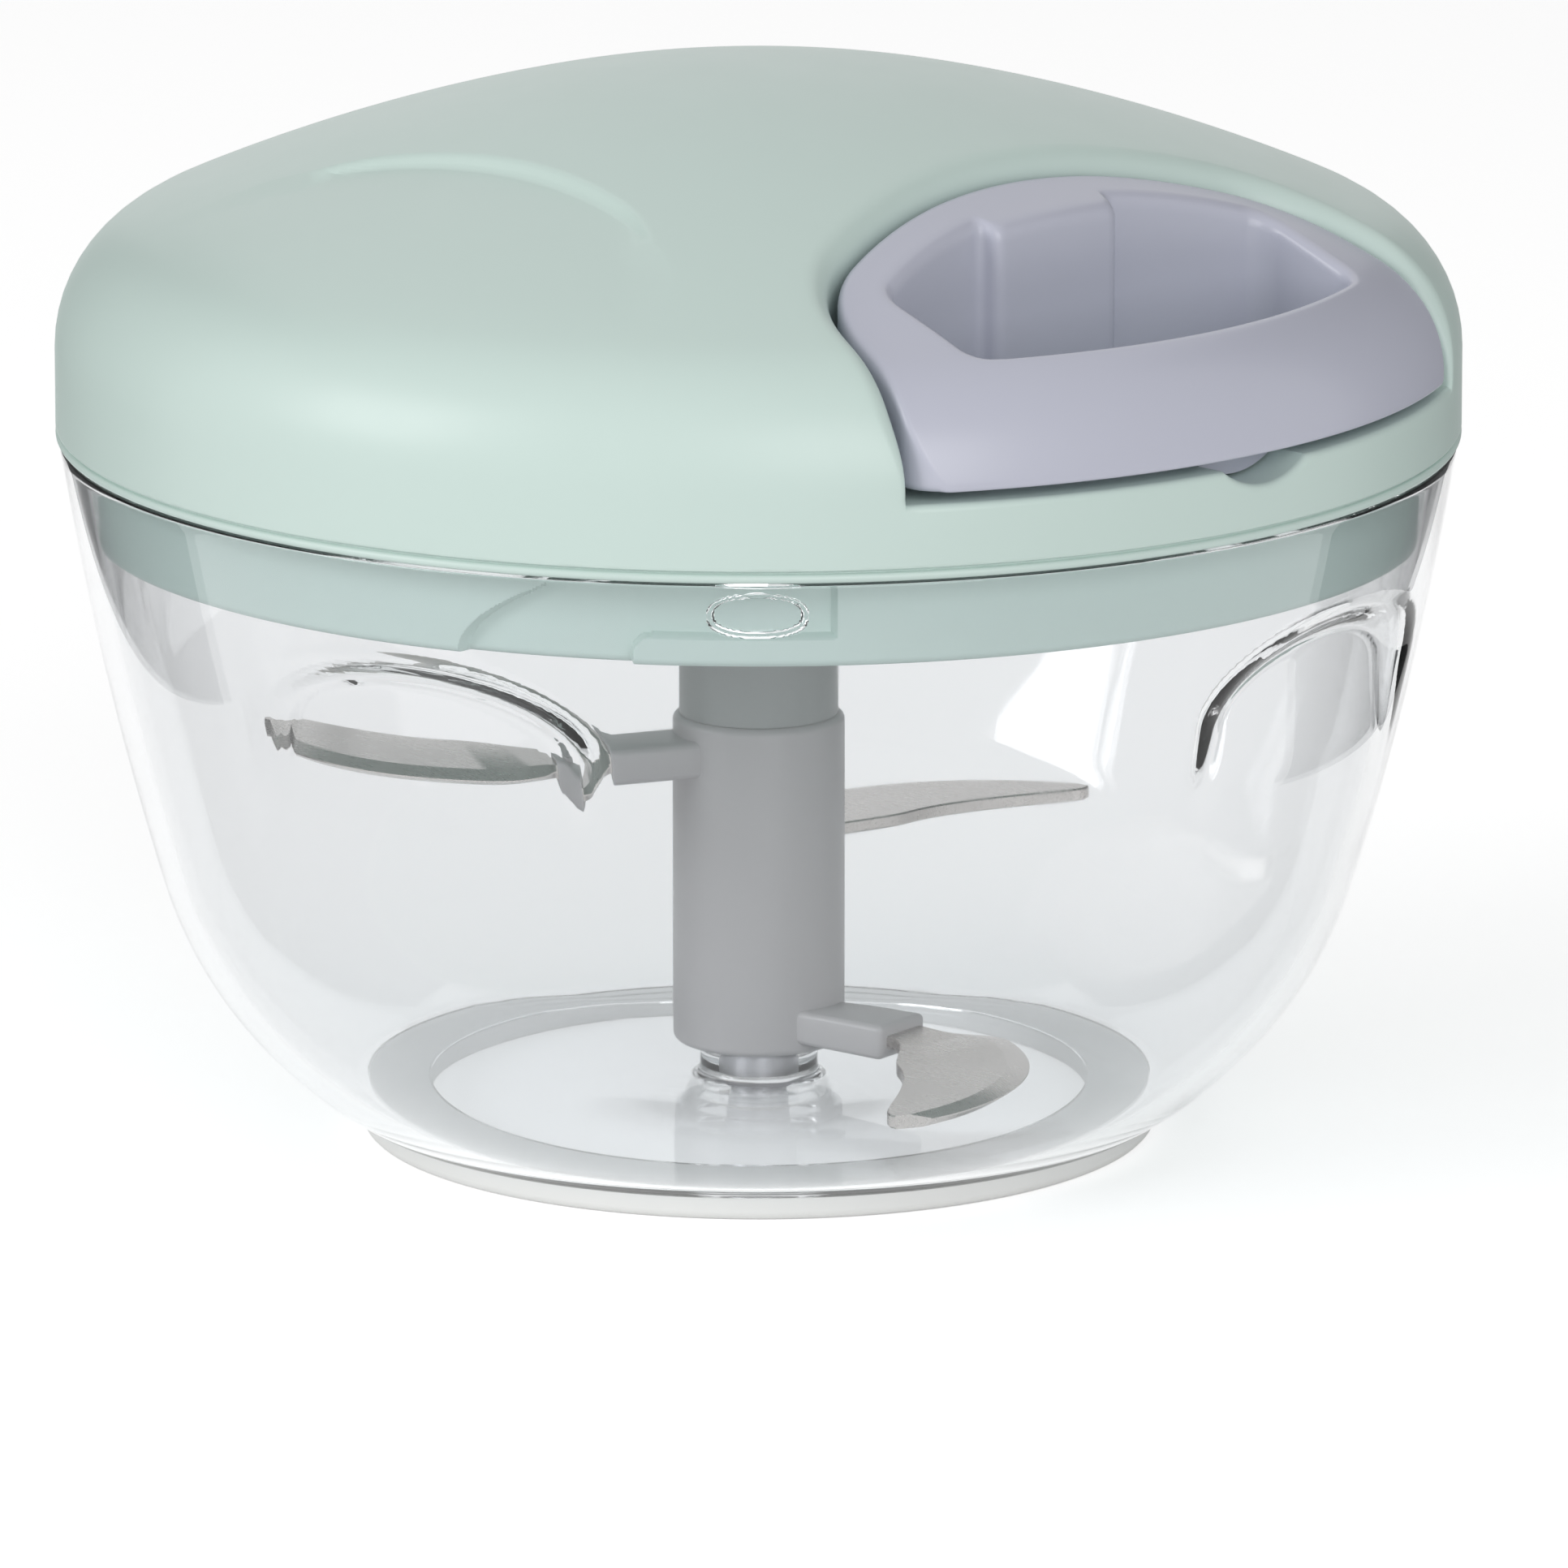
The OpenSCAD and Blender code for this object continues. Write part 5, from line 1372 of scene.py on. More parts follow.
def pull_handle(context):
    """D-shaped handle: a bar with a cord boss, two ends and a rounded grip that carries on the dome."""
    lid, bay, h, cord = (sizes(context, g) for g in ("lid", "bay", "handle", "cord"))
    bay_line, dome = BayLine(lid, bay), DomeLine(lid)
    low = lid.seam_z + bay.floor_h + h.lift
    columns = []
    for o, q in zip(*handle_loops(lid, bay, h, bay_line)):
        span = np.linalg.norm(q - o)
        unit = (q - o) / span
        d = span * np.linspace(0, 1, 90) ** 2
        plan = o + d[:, None] * unit
        top = np.column_stack([d, dome.height(np.hypot(plan[:, 0], plan[:, 1])) - h.drop])
        foot = min(h.foot_edge_r, 0.45 * (top[0, 1] - low))
        wall = np.column_stack([np.zeros(12), np.linspace(low + foot, top[0, 1], 12)])
        drop = np.column_stack([np.full(12, span), np.linspace(top[-1, 1], low + h.foot_edge_r, 12)])
        rise = math.atan2(top[2, 1] - top[0, 1], top[2, 0] - top[0, 0])
        edge = h.edge_r * min(1.0, (math.pi / 2 - rise) / 1.2)
        rows = section((wall, top, drop), max(edge, 0.05), h.hole_edge_r, (5, 8, 18, 8, 6))
        around = [rows[0]] + [r[1:] for r in rows[1:]]
        turn = np.linspace(0, math.pi / 2, 5)[1:]
        e = h.foot_edge_r
        around.append(np.column_stack([span - e + e * np.cos(turn), low + e - e * np.sin(turn)]))
        around.append([[span * 0.5, low]])
        turn = np.linspace(math.pi / 2, 0, 5)[:-1]
        around.append(np.column_stack([foot - foot * np.cos(turn), low + foot - foot * np.sin(turn)]))
        ring = np.vstack(around)
        columns.append(np.column_stack([o + ring[:, :1] * unit, ring[:, 1]]))
    grid = np.stack(columns, axis=1)
    points = grid.reshape(-1, 3)
    faces = grid_faces(grid.shape[0], grid.shape[1], wrap_rows=True)
    form = [(points, faces)]
    piece = build(context, "pull_handle_d", form, "handle", "handle_lilac", "pull_handle", weld=0.004)
    tab_z = lid.seam_z + bay.floor_h + h.tab_r - h.tab_depth
    grip_in = lid.radius - h.grip + 1
    half = math.sqrt(h.tab_r**2 - (h.tab_r - h.tab_depth) ** 2)
    sweep = math.asin(half / h.tab_r)
    under = [(h.tab_r * math.sin(a), tab_z - h.tab_r * math.cos(a)) for a in np.linspace(-sweep, sweep, 25)]
    under += [(half, low + 1.2), (-half, low + 1.2)]
    n = len(under)
    points = [(x, *p) for x in (grip_in, lid.radius - h.tab_step) for p in under]
    faces = grid_faces(2, n) + [tuple(range(n)), tuple(range(2 * n - 1, n - 1, -1))]
    cut_or_add(piece, points, faces, "UNION")
    start, end = bay.inner_x + h.gap - 1, cord.knot_x
    points, faces = lathe([(0, start), (cord.guide_r, start), (cord.guide_r, end), (0, end)], 32)
    cut_or_add(piece, along_x(points, cord.height), faces, "DIFFERENCE")
    room = cord.knot_r + 0.4
    x0 = cord.knot_x - math.sqrt(cord.knot_r**2 - cord.guide_r**2)
    ends, sides, heights = (x0, x0 + 2 * room), (-room, room), (low - 1, cord.height + room)
    box = [(x, y, z) for x in ends for y in sides for z in heights]
    faces = [(0, 1, 3, 2), (4, 6, 7, 5), (0, 4, 5, 1), (2, 3, 7, 6), (0, 2, 6, 4), (1, 5, 7, 3)]
    cut_or_add(piece, box, faces, "DIFFERENCE")
    piece.data.shade_smooth()
    piece.data.set_sharp_from_angle(angle=math.radians(38))
    return piece


def bowl_arcs(lid, b):
    """Centres, radii and leans of the base and wall arcs of the bowl."""
    lean = np.array([math.cos(b.base_lean), math.sin(b.base_lean)])
    rim = np.array([lid.radius - b.rim_in, lid.seam_z - b.rim_gap])
    base_c = np.array([b.foot_r + b.edge_out - b.base_r * lean[0], b.foot_h + b.base_r * lean[1]])
    way = np.array([math.cos(b.wall_lean), -math.sin(b.wall_lean)])
    foot = base_c + b.base_r * way
    chord = rim - foot
    rim_lean = 2 * math.atan2(chord[0], chord[1]) - b.wall_lean
    wall_r = np.linalg.norm(chord) / (2 * math.sin((b.wall_lean - rim_lean) / 2))
    return base_c, foot - wall_r * way, wall_r, rim_lean, rim


def bowl(context):
    """Clear bowl in one closed shell with finger scallops, lugs and a floor boss."""
    lid, b, s = (sizes(context, g) for g in ("lid", "bowl", "skirt"))
    base_c, wall_c, wall_r, rim_lean, rim = bowl_arcs(lid, b)
    floor_z = b.foot_h + b.floor_t
    groove_z, ring_in = b.foot_h + b.groove, b.foot_r - b.foot_w

    def wall_at(z, inset):
        """Radius of the upper wall at a height."""
        return wall_c[0] + np.sqrt((wall_r - inset) ** 2 - (z - wall_c[1]) ** 2)

    def arc(centre, radius, first, last, count):
        return arc_points(centre, radius, -first, -last, count)

    foot = rounded_line([
        (0, b.foot_h), (ring_in - b.foot_gap, b.foot_h, 0), (ring_in - b.foot_gap, groove_z + 0.05, 0),
        (b.foot_r + b.foot_gap, groove_z + 0.05, 0), (b.foot_r + b.foot_gap, b.foot_h, 0),
        (b.foot_r + b.edge_out - 0.25, b.foot_h),
    ], 3)
    fine = np.vstack([foot[0], resample(foot[0:2], 8)[1:], foot[2:]])
    inner_lean = math.asin((base_c[1] - floor_z) / (b.base_r - b.wall))
    outside = np.vstack([
        arc(base_c, b.base_r, b.base_lean - 0.012, b.wall_lean, 30),
        arc(wall_c, wall_r, b.wall_lean, rim_lean, 84)[1:-2],
    ])
    lug_z = lid.seam_z - s.lug_drop
    near_lug = np.linspace(lug_z + s.lug_h, lug_z - s.lug_h, 57)
    below = np.linspace(near_lug[-1], wall_c[1] - (wall_r - b.wall) * math.sin(b.wall_lean), 66)[1:]
    heights = np.concatenate([near_lug[near_lug < rim[1] - 0.8], below])
    within = np.vstack([
        np.column_stack([wall_at(heights, b.wall), heights]),
        arc(base_c, b.base_r - b.wall, b.wall_lean, inner_lean, 30)[1:-2],
    ])
    edge = rounded_line([
        outside[-1], (rim[0], rim[1], b.rim_edge), (rim[0] - b.wall, rim[1], b.rim_inner_edge), within[0],
    ], 6)[1:-1]
    bed = rounded_line([
        within[-1], (float(base_c[0] + (b.base_r - b.wall) * math.cos(inner_lean)), floor_z, b.floor_edge),
        (b.boss_r, floor_z, b.boss_root), (b.boss_r, floor_z + b.boss_h, b.boss_edge),
        (0, floor_z + b.boss_h),
    ], 7)[1:]
    rows = [fine, outside, np.array(edge), within, np.array(bed)]
    kind = np.concatenate([np.full(len(r), k) for r, k in zip(rows, (0, 1, 0, 2, 0))])[1:-1, None]
    lug_tip = s.radius - s.track_depth + s.lug_gap
    half_w, half_h = s.lug_w / 2, s.lug_h / 2
    places = [s.lug_at + k * TAU / LUGS for k in range(LUGS)]
    spring_z = b.scallop_z - b.scallop_round

    def hollow(radius, height, turn, inset):
        """Radius with the finger scallops pressed into the wall."""
        floor_r = wall_at(b.scallop_z, 0) - b.scallop_depth - inset
        wall = wall_at(np.maximum(height, spring_z - b.scallop_leg), inset)
        depth = soft_positive(wall - floor_r, 0.4, 0.02)
        grow, edge = 0.3 * inset, b.scallop_edge - 0.5 * inset
        half, tall = b.scallop_w / 2 + grow, b.scallop_round + grow
        press = np.zeros_like(radius)
        for k in range(SCALLOPS):
            lead = turn - b.scallop_at - k * TAU / SCALLOPS
            x = radius * np.sin(lead)
            z = np.maximum(height - spring_z, 0)
            e = np.hypot(x / half, z / tall) + 1e-6
            slope = np.hypot(x / half**2, z / tall**2) / e + 1e-6
            mask = smooth((1 - e) / slope / edge + 0.5)
            press = np.maximum(press, np.where(np.cos(lead) > 0.3, mask, 0))
        return radius - press * depth

    def shape(radius, height, turn):
        turn = np.broadcast_to(turn, radius.shape)
        pressed = np.where(kind == 1, hollow(radius, height, turn, 0.0), radius)
        pressed = np.where(kind == 2, hollow(radius, height, turn, b.wall), pressed)
        lug = np.zeros_like(radius)
        for place in places:
            x = ((turn - place + math.pi) % TAU - math.pi) * s.radius / half_w
            z = (height - lug_z) / half_h
            e = (np.abs(x) ** LUG_POWER + np.abs(z) ** LUG_POWER) ** (1 / LUG_POWER) + 1e-6
            across, along = np.abs(x / e) ** (LUG_POWER - 1), np.abs(z / e) ** (LUG_POWER - 1)
            slope = np.hypot(across / half_w, along / half_h) + 1e-6
            lug = np.maximum(lug, smooth((1 - e) / slope / s.lug_edge + 0.5))
        return np.where(kind == 2, pressed - lug * np.maximum(pressed - lug_tip, 0), pressed), height

    turns = fine_turns(420, places, (half_w + 1.3) / s.radius, LUG_STEP / s.radius)
    points, faces = lathe(np.vstack(rows), turns, shape)
    return build(context, "bowl_shell", [(points, faces)], "bowl", "bowl_clear", "bowl")


def foot_ring(context):
    """Soft ring under the bowl."""
    b = sizes(context, "bowl")
    top, back = b.foot_h + b.groove, b.foot_r - b.foot_w
    line = rounded_line([
        (back, top / 2), (back, top, 0.2), (b.foot_r, top, 0.2), (b.foot_r, 0, 0.9), (back, 0, 0.7),
        (back, top / 2 - 0.01),
    ], 6)
    points, faces = lathe(line[:-1], 192)
    return build(context, "foot_ring_soft", [(points, faces)], "bowl", "foot_white", "foot_ring")


def rounded_bar(start, end, width, height, edge):
    """Straight bar along X with rounded edges and a rounded far end."""
    turn = np.linspace(0, TAU, 33)[:-1]

    def ring(x, inset):
        r = max(edge - inset, 0.05)
        y = np.sign(np.round(np.cos(turn), 9)) * (width / 2 - edge) + r * np.cos(turn)
        z = np.sign(np.round(np.sin(turn), 9)) * (height / 2 - edge) + r * np.sin(turn)
        return np.column_stack([np.full(len(turn), x), y, z])

    rows = [ring(start, 0)]
    for a in np.linspace(0, math.pi / 2, 5):
        rows.append(ring(end - edge + edge * math.sin(a), edge * (1 - math.cos(a))))
    faces = grid_faces(len(rows), len(turn))
    last = (len(rows) - 1) * len(turn)
    faces += [tuple(range(len(turn) - 1, -1, -1)), tuple(last + k for k in range(len(turn)))]
    return np.vstack(rows), faces


def turned(points, turn, z):
    """Points turned about the lid axis and lifted."""
    c, s = math.cos(turn), math.sin(turn)
    x, y = points[:, 0], points[:, 1]
    return np.column_stack([x * c - y * s, x * s + y * c, points[:, 2] + z])


def blade_shaft(context):
    """Shaft with its ring and blade arms, and the collar with its hexagon socket."""
    s, k = sizes(context, "shaft"), sizes(context, "blades")
    line = rounded_line([
        (0, s.bore_top), (s.bore_r, s.bore_top, 0), (s.bore_r, s.foot_z, 0.4), (s.radius, s.foot_z, s.edge_r),
        (s.radius, s.top_z, s.edge_r), (0, s.top_z),
    ], 6)
    points, faces = lathe(line, 96)
    piece = build(context, "blade_shaft_column", [(points, faces)], "rotor", "shaft_grey", "blade_shaft")
    for i in range(3):
        arm, faces = rounded_bar(s.bore_r + 1.2, s.arm_l, s.arm_w, s.arm_t, s.edge_r)
        arm = turned(arm, k.turn + (i - 2) * TAU / 3, k.low_z + i * k.step)
        cut_or_add(piece, arm, faces, "UNION")
    piece.data.shade_smooth()
    piece.data.set_sharp_from_angle(angle=math.radians(40))
    top = s.top_z + s.collar_l
    line = rounded_line([
        (0, s.top_z), (s.collar_r, s.top_z, 0.1), (s.collar_r, top, s.edge_r), (s.socket_r, top, 0),
        (s.socket_r, s.top_z + 1, 0), (0, s.top_z + 1),
    ], 6)

    def hexagon(radius, height, turn):
        flat = math.cos(math.pi / 6) / np.cos((turn % (math.pi / 3)) - math.pi / 6)
        return np.where(np.abs(radius - s.socket_r) < 0.01, radius * flat, radius), height

    points, faces = lathe(line, 96, hexagon)
    # The collar takes the darker grey of painted shade.
    build(context, "shaft_collar_socket", [(points, faces)], "rotor", "collar_grey", "shaft_collar")
    return piece


BLADE_STATIONS = 40
SWELL_END = 0.35
TAPER_START = 0.55
TIP_TAPER = 0.94
EDGE_HALF = 0.07
BACK_BREAK = 0.15


def blade(k, arm_l, tip_r):
    """Sickle blade with a ground bevel on its leading edge."""
    rings = []
    stations = [(k.root_r, 0.0, True), (arm_l - 0.4, 0.0, True)]
    stations += [(0, t, False) for t in np.linspace(0, 1, BLADE_STATIONS)]
    for x, t, tang in stations:
        if tang:
            lead, trail, bevel = np.array([x, k.tang_w / 2]), np.array([x, -k.tang_w / 2]), 0.05
        else:
            r, turn = arm_l + (tip_r - arm_l) * t, -k.sweep * t**1.5
            swell = math.sin(math.pi / 2 * min(1, t / SWELL_END)) ** 2
            fade = max(0, t - TAPER_START) / (1 - TAPER_START)
            taper = math.sqrt(1 - TIP_TAPER * fade**2)
            half = (k.tang_w + (k.width - k.tang_w) * swell) * taper / 2
            mid, side = polar(r, turn), polar(half, turn + math.pi / 2)
            lead, trail = mid + side, mid - side
            bevel = min(k.bevel_w * smooth(t / 0.25) + 0.05, 1.2 * half)
        across = (trail - lead) / np.linalg.norm(trail - lead)
        ground, back = lead + across * bevel, trail - across * BACK_BREAK
        up = k.thickness / 2
        rings += [
            (*back, up), (*ground, up), (*lead, EDGE_HALF), (*lead, -EDGE_HALF),
            (*(lead + across * bevel * 0.5), -up), (*back, -up),
            (*trail, -up + BACK_BREAK), (*trail, up - BACK_BREAK),
        ]
    rows = len(stations)
    faces = grid_faces(rows, 8)
    last = (rows - 1) * 8
    faces += [tuple(range(7, -1, -1)), tuple(last + j for j in range(8))]
    return np.array(rings), faces


def blades(context):
    """The three blades, a third of a turn apart."""
    k, s = sizes(context, "blades"), sizes(context, "shaft")
    for i, name in enumerate(("blade_lower", "blade_middle", "blade_upper")):
        points, faces = blade(k, s.arm_l, k.low_tip_r if i == 0 else k.tip_r)
        points = turned(points, k.turn + (i - 2) * TAU / 3, k.low_z + i * k.step)
        form = [(points, faces)]
        build(context, name + "_ground", form, "rotor", "blade_steel", name, sharp=12, weld=0.001)


CORD_ROUTE = (
    (19.6, -7), (22, -4.8), (24, -3), (25.6, -1.6), (26.8, -0.7), (28, -0.2), (29.5, 0), (31, 0), (32.3, 0),
)


def along_x(points, height):
    """Turned form laid along X at the cord's height."""
    return np.column_stack([points[:, 2], points[:, 1], height - points[:, 0]])


def cord_path(points, height, step=0.35):
    """Even points along the cord's route in space."""
    line = np.column_stack([np.array(points, float), np.full(len(points), height)])
    span = np.linalg.norm(np.diff(line, axis=0), axis=1).sum()
    return resample(line, int(span / step))


def pull_cord(context):
    """Cord from the reel to the handle, with its eyelet, its knot and the turns on the drum."""
    c, bay = sizes(context, "cord"), sizes(context, "bay")
    points, faces = tube(cord_path(CORD_ROUTE, c.height), c.radius, 14)
    piece = build(context, "pull_cord_line", [(points, faces)], None, "cord_white", "pull_cord")
    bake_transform(piece)
    face = bay.inner_x
    back = face - bay.wall - c.flange_t
    line = rounded_line([
        (c.guide_r, face - 1), (c.guide_r, face - 2.2, 0), (c.guide_r + 0.9, back, 0.3),
        (c.flange_r, back, 0.3), (c.flange_r, face - bay.wall, 0.3), (c.eyelet_r, face - bay.wall, 0),
        (c.eyelet_r, face + c.lip, 0.3), (c.guide_r, face + c.lip, 0.4), (c.guide_r, face - 0.9),
    ], 5)
    points, faces = lathe(line, 40)
    form = [(along_x(points, c.height), faces)]
    build(context, "cord_eyelet_lip", form, "lid", "reel_white", "cord_eyelet")
    t = np.arange(90) * TAU / 90
    out = 2 + np.cos(3 * t)
    loop = np.column_stack([out * np.cos(2 * t), out * np.sin(2 * t), np.sin(3 * t) * 1.6])
    strand = 0.3 * c.knot_r
    loop *= (c.knot_r - strand) / 3
    loop = np.column_stack([loop[:, 2] + c.knot_x, loop[:, 0], loop[:, 1] + c.height])
    points, faces = tube(loop, strand, 10, True)
    core, core_faces = lathe([(0, -0.9), (0.6, -0.8), (0.9, -0.3), (0.9, 0.3), (0.6, 0.8), (0, 0.9)], 16)
    form = [(points, faces), (along_x(core, c.height) + [c.knot_x, 0, 0], core_faces)]
    build(context, "cord_knot_tied", form, "handle", "cord_white", "cord_knot")
    low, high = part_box("cord_windings")
    turns = 4
    t = np.linspace(0, 1, turns * 48)
    radius = high[0] / MM - c.radius
    z = low[2] / MM + c.radius + 0.05 + t * (high[2] - low[2]) / MM - t * 2 * (c.radius + 0.05)
    helix = np.column_stack([radius * np.cos(t * turns * TAU), radius * np.sin(t * turns * TAU), z])
    points, faces = tube(helix, c.radius, 12)
    build(context, "cord_turns", [(points, faces)], "reel", "cord_white", "cord_windings")


def screws(context):
    """Pan-headed cover screws with a cross recess, heads down."""
    low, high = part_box("cover_screws")
    w, seam = sizes(context, "screws"), sizes(context, "lid").seam_z
    bottom, top = low[2] / MM, high[2] / MM
    thread, z = [], top - w.point_h
    while z > seam + 0.6:
        flank, root = z - w.flank_h, z - w.flank_h - w.root_h
        thread += [(w.thread_r, z, 0), (w.core_r, flank, 0), (w.core_r, root, 0)]
        thread.append((w.thread_r, root - w.flank_h, 0))
        z -= w.pitch
    head = [
        (0, bottom), (w.crown_r, bottom, 0.4), (w.head_r, bottom + w.crown_h, 0.5), (w.head_r, seam, 0.1),
        (w.thread_r, seam, 0),
    ]
    points, faces = lathe(rounded_line(head + thread[::-1] + [(0, top)], 5), 32)
    made = [polar(w.circle_r, turn) for turn in SCREW_TURNS]
    parts = [(points + [x, y, 0], faces) for x, y in made]
    piece = build(context, "cover_screw_set", parts, "lid", "screw_steel", "cover_screws")
    for x, y in made:
        for turn in (0.4, 0.4 + math.pi / 2):
            bar, bar_faces = rounded_bar(-w.recess_l / 2, w.recess_l / 2, w.recess_w, w.recess_h, 0.2)
            cut_or_add(piece, turned(bar, turn, bottom) + [x, y, 0], bar_faces, "DIFFERENCE")
    piece.data.shade_smooth()
    piece.data.set_sharp_from_angle(angle=math.radians(35))


KEPT_FINISHES = {
    "centre_pin": "screw_steel",
    "drive_bush": "bush_ivory",
    "reel_washer": "screw_steel",
    "reel_screw": "screw_steel",
    "recoil_spring": "spring_steel",
    "cord_reel": "reel_white",
    "spring_cap": "reel_white",
    "pawl_1": "bush_ivory",
    "pawl_2": "bush_ivory",
    "pawl_3": "bush_ivory",
    "drive_coupler": "reel_white",
    "drive_clip": "screw_steel",
    "shaft_bush": "bush_ivory",
}


def inner_drive(context):
    """Finishes of the inner pieces whose solids are shown as they are."""
    for name, finish in KEPT_FINISHES.items():
        mesh = NODES[name].data
        mesh.materials.clear()
        mesh.materials.append(finish_of(context, finish))


def lamp(name, place, aim, size, power):
    """Soft square lamp aimed at a point; places in metres."""
    data = bpy.data.lights.new(name, "AREA")
    data.shape, data.size, data.energy = "SQUARE", size, power
    made = bpy.data.objects.new(name, data)
    made.location = place
    made.rotation_euler = (Vector(aim) - Vector(place)).to_track_quat("-Z", "Y").to_euler()
    bpy.context.scene.collection.objects.link(made)
    return made


def card(scene, name, start, end, height):
    """Grey upright card that only shows in the clear bowl and in reflections."""
    up = Vector((0, 0, height))
    mesh = bpy.data.meshes.new(name)
    mesh.from_pydata([start, end, end + up, start + up], [], [(0, 1, 2, 3)])
    material, _, shader, _ = new_material("Grey card")
    shader.inputs["Base Color"].default_value = (0.22, 0.225, 0.23, 1)
    shader.inputs["Roughness"].default_value = 0.9
    mesh.materials.append(material)
    made = bpy.data.objects.new(name, mesh)
    made.visible_camera = made.visible_diffuse = made.visible_shadow = False
    scene.collection.objects.link(made)


def seen_rays(tree):
    """One for camera, glossy and transmission rays."""
    path = node(tree, "ShaderNodeLightPath")
    some = math_node(tree, "MAXIMUM", path.outputs["Is Camera Ray"], path.outputs["Is Glossy Ray"])
    return math_node(tree, "MAXIMUM", some, path.outputs["Is Transmission Ray"])


def stage(context):
    """Camera, lamps, white surroundings and the pale floor."""
    g = sizes(context, "stage")
    scene = context.scene
    scene.view_settings.view_transform = "Standard"
    scene.cycles.max_bounces = scene.cycles.transmission_bounces = 28
    scene.cycles.glossy_bounces = 12
    ahead = Vector((math.sin(g.azimuth), -math.cos(g.azimuth), 0))
    right = Vector((math.cos(g.azimuth), math.sin(g.azimuth), 0))
    aim = Vector((0, 0, g.aim_z * MM)) + right * g.aim_right * MM
    way = ahead * math.cos(g.elevation) + Vector((0, 0, math.sin(g.elevation)))
    data = bpy.data.cameras.new("camera")
    data.sensor_fit, data.sensor_width = "HORIZONTAL", 36
    data.lens = 36 * g.distance / g.frame_w
    data.clip_end = 50
    camera = bpy.data.objects.new("camera", data)
    camera.location = aim + way * g.distance * MM
    camera.rotation_euler = (-way).to_track_quat("-Z", "Y").to_euler()
    scene.collection.objects.link(camera)
    scene.camera = camera

    def beside(front, side, up):
        """Place in metres as the camera sees it: towards it, to its right and up."""
        return ahead * front + right * side + Vector((0, 0, up))

    lamp("key_lamp", beside(0.5, -1.05, 0.55), aim, 0.6, g.key_power)
    lamp("fill_lamp", beside(1.1, 0.35, 0.5), aim, 0.8, g.fill_power)
    for side in (-g.card_out * MM, g.card_out * MM):
        card(scene, "flag_card", beside(0, side, 0), beside(-g.card_l * MM, side, 0), g.card_h * MM)

    world = bpy.data.worlds.new("surroundings")
    world.use_nodes = True
    tree = world.node_tree
    tree.nodes.clear()
    out = tree.nodes.new("ShaderNodeOutputWorld")
    back = node(tree, "ShaderNodeBackground", Color=(1, 1, 1, 1))
    level = math_node(tree, "MULTIPLY", seen_rays(tree), 1 - g.surround)
    level = math_node(tree, "ADD", level, g.surround)
    tree.links.new(level, back.inputs["Strength"])
    tree.links.new(back.outputs["Background"], out.inputs["Surface"])
    scene.world = world

    material, tree, shader, out = new_material("Pale floor")
    shader.inputs["Base Color"].default_value = (*g.floor, 1)
    shader.inputs["Roughness"].default_value = 0.9
    shader.inputs["Specular IOR Level"].default_value = 0.1
    glow = node(tree, "ShaderNodeEmission", Color=(1, 1, 1, 1))
    tree.links.new(math_node(tree, "MULTIPLY", seen_rays(tree), g.floor_glow), glow.inputs["Strength"])
    both = tree.nodes.new("ShaderNodeAddShader")
    tree.links.new(shader.outputs["BSDF"], both.inputs[0])
    tree.links.new(glow.outputs["Emission"], both.inputs[1])
    tree.links.new(both.outputs["Shader"], out.inputs["Surface"])
    mesh = bpy.data.meshes.new("floor")
    reach = 12
    corners = [(x * reach, y * reach, 0) for x, y in ((-1, -1), (1, -1), (1, 1), (-1, 1))]
    mesh.from_pydata(corners, [], [(0, 1, 2, 3)])
    mesh.materials.append(material)
    floor = bpy.data.objects.new("floor", mesh)
    scene.collection.objects.link(floor)


def piece_operator(name, label, doc, make):
    """Operator class that runs one maker function."""

    def execute(self, context):
        make(context)
        return {"FINISHED"}

    return type(
        "CHOPPER_OT_" + name,
        (bpy.types.Operator,),
        {
            "bl_idname": "chopper." + name,
            "bl_label": label,
            "__doc__": doc,
            "bl_options": {"REGISTER", "UNDO"},
            "execute": execute,
        },
    )


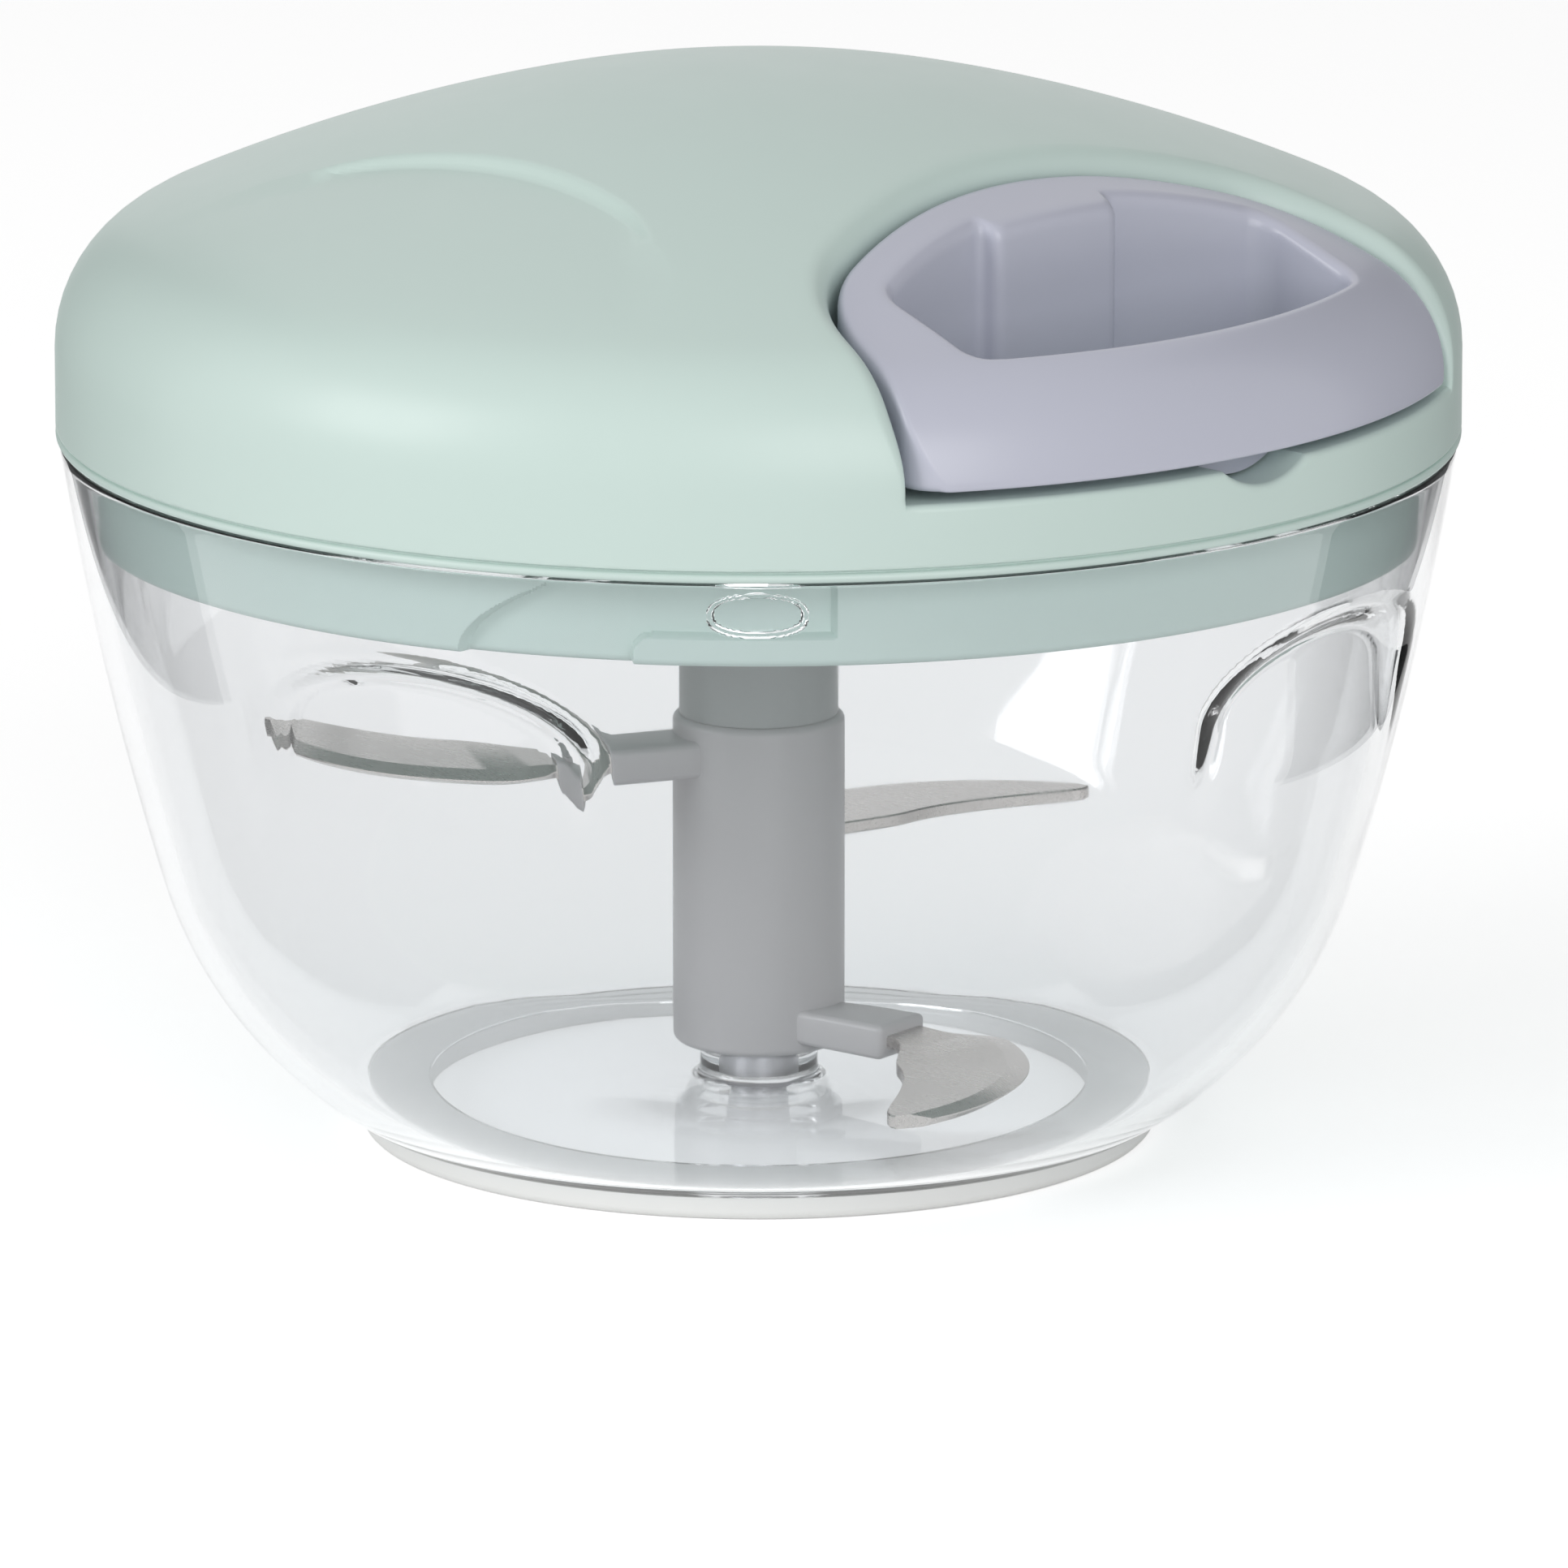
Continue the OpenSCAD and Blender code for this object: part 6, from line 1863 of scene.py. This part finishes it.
OPERATORS = (
    piece_operator("stage", "Stage", "Make the camera, lamps and floor", stage),
    piece_operator("pull_cord", "Pull cord", "Make the cord, its eyelet, knot and turns", pull_cord),
    piece_operator("lid_cover", "Lid cover", "Make the domed lid cover", lid_cover),
    piece_operator("lid_base", "Lid base", "Make the lid base with its bayonet skirt", lid_base),
    piece_operator("pull_handle", "Pull handle", "Make the D-shaped pull handle", pull_handle),
    piece_operator("bowl", "Bowl", "Make the clear bowl", bowl),
    piece_operator("foot_ring", "Foot ring", "Make the ring under the bowl", foot_ring),
    piece_operator("blade_shaft", "Blade shaft", "Make the blade shaft and its collar", blade_shaft),
    piece_operator("blades", "Blades", "Make the three sickle blades", blades),
    piece_operator("screws", "Cover screws", "Make the screws of the lid", screws),
    piece_operator("inner_drive", "Inner drive", "Finish the inner pieces", inner_drive),
)


class CHOPPER_PT_pieces(bpy.types.Panel):
    """Lists the pieces and the settings of the chopper."""

    bl_label = "Food chopper"
    bl_idname = "CHOPPER_PT_pieces"
    bl_space_type = "VIEW_3D"
    bl_region_type = "UI"
    bl_category = "Chopper"

    def draw(self, context):
        column = self.layout.column()
        for operator in OPERATORS:
            column.operator(operator.bl_idname, text=operator.bl_label)
        settings = context.scene.chopper
        for group in settings.bl_rna.properties:
            if group.type != "POINTER" or group.identifier == "rna_type":
                continue
            box = self.layout.box()
            box.label(text=group.name)
            data = getattr(settings, group.identifier)
            for prop in data.bl_rna.properties:
                if prop.identifier not in ("rna_type", "name"):
                    box.prop(data, prop.identifier)


CLASSES = GROUPS + OPERATORS + (CHOPPER_PT_pieces,)


def register():
    for cls in CLASSES:
        bpy.utils.register_class(cls)
    bpy.types.Scene.chopper = bpy.props.PointerProperty(type=ChopperSettings)


def unregister():
    del bpy.types.Scene.chopper
    for cls in reversed(CLASSES):
        bpy.utils.unregister_class(cls)


def main():
    """Builds every piece and notes the sizes of the solids and of the visual model."""
    register()
    for operator in OPERATORS:
        getattr(bpy.ops.chopper, operator.bl_idname.split(".")[1])()


if __name__ == "__main__":
    main()
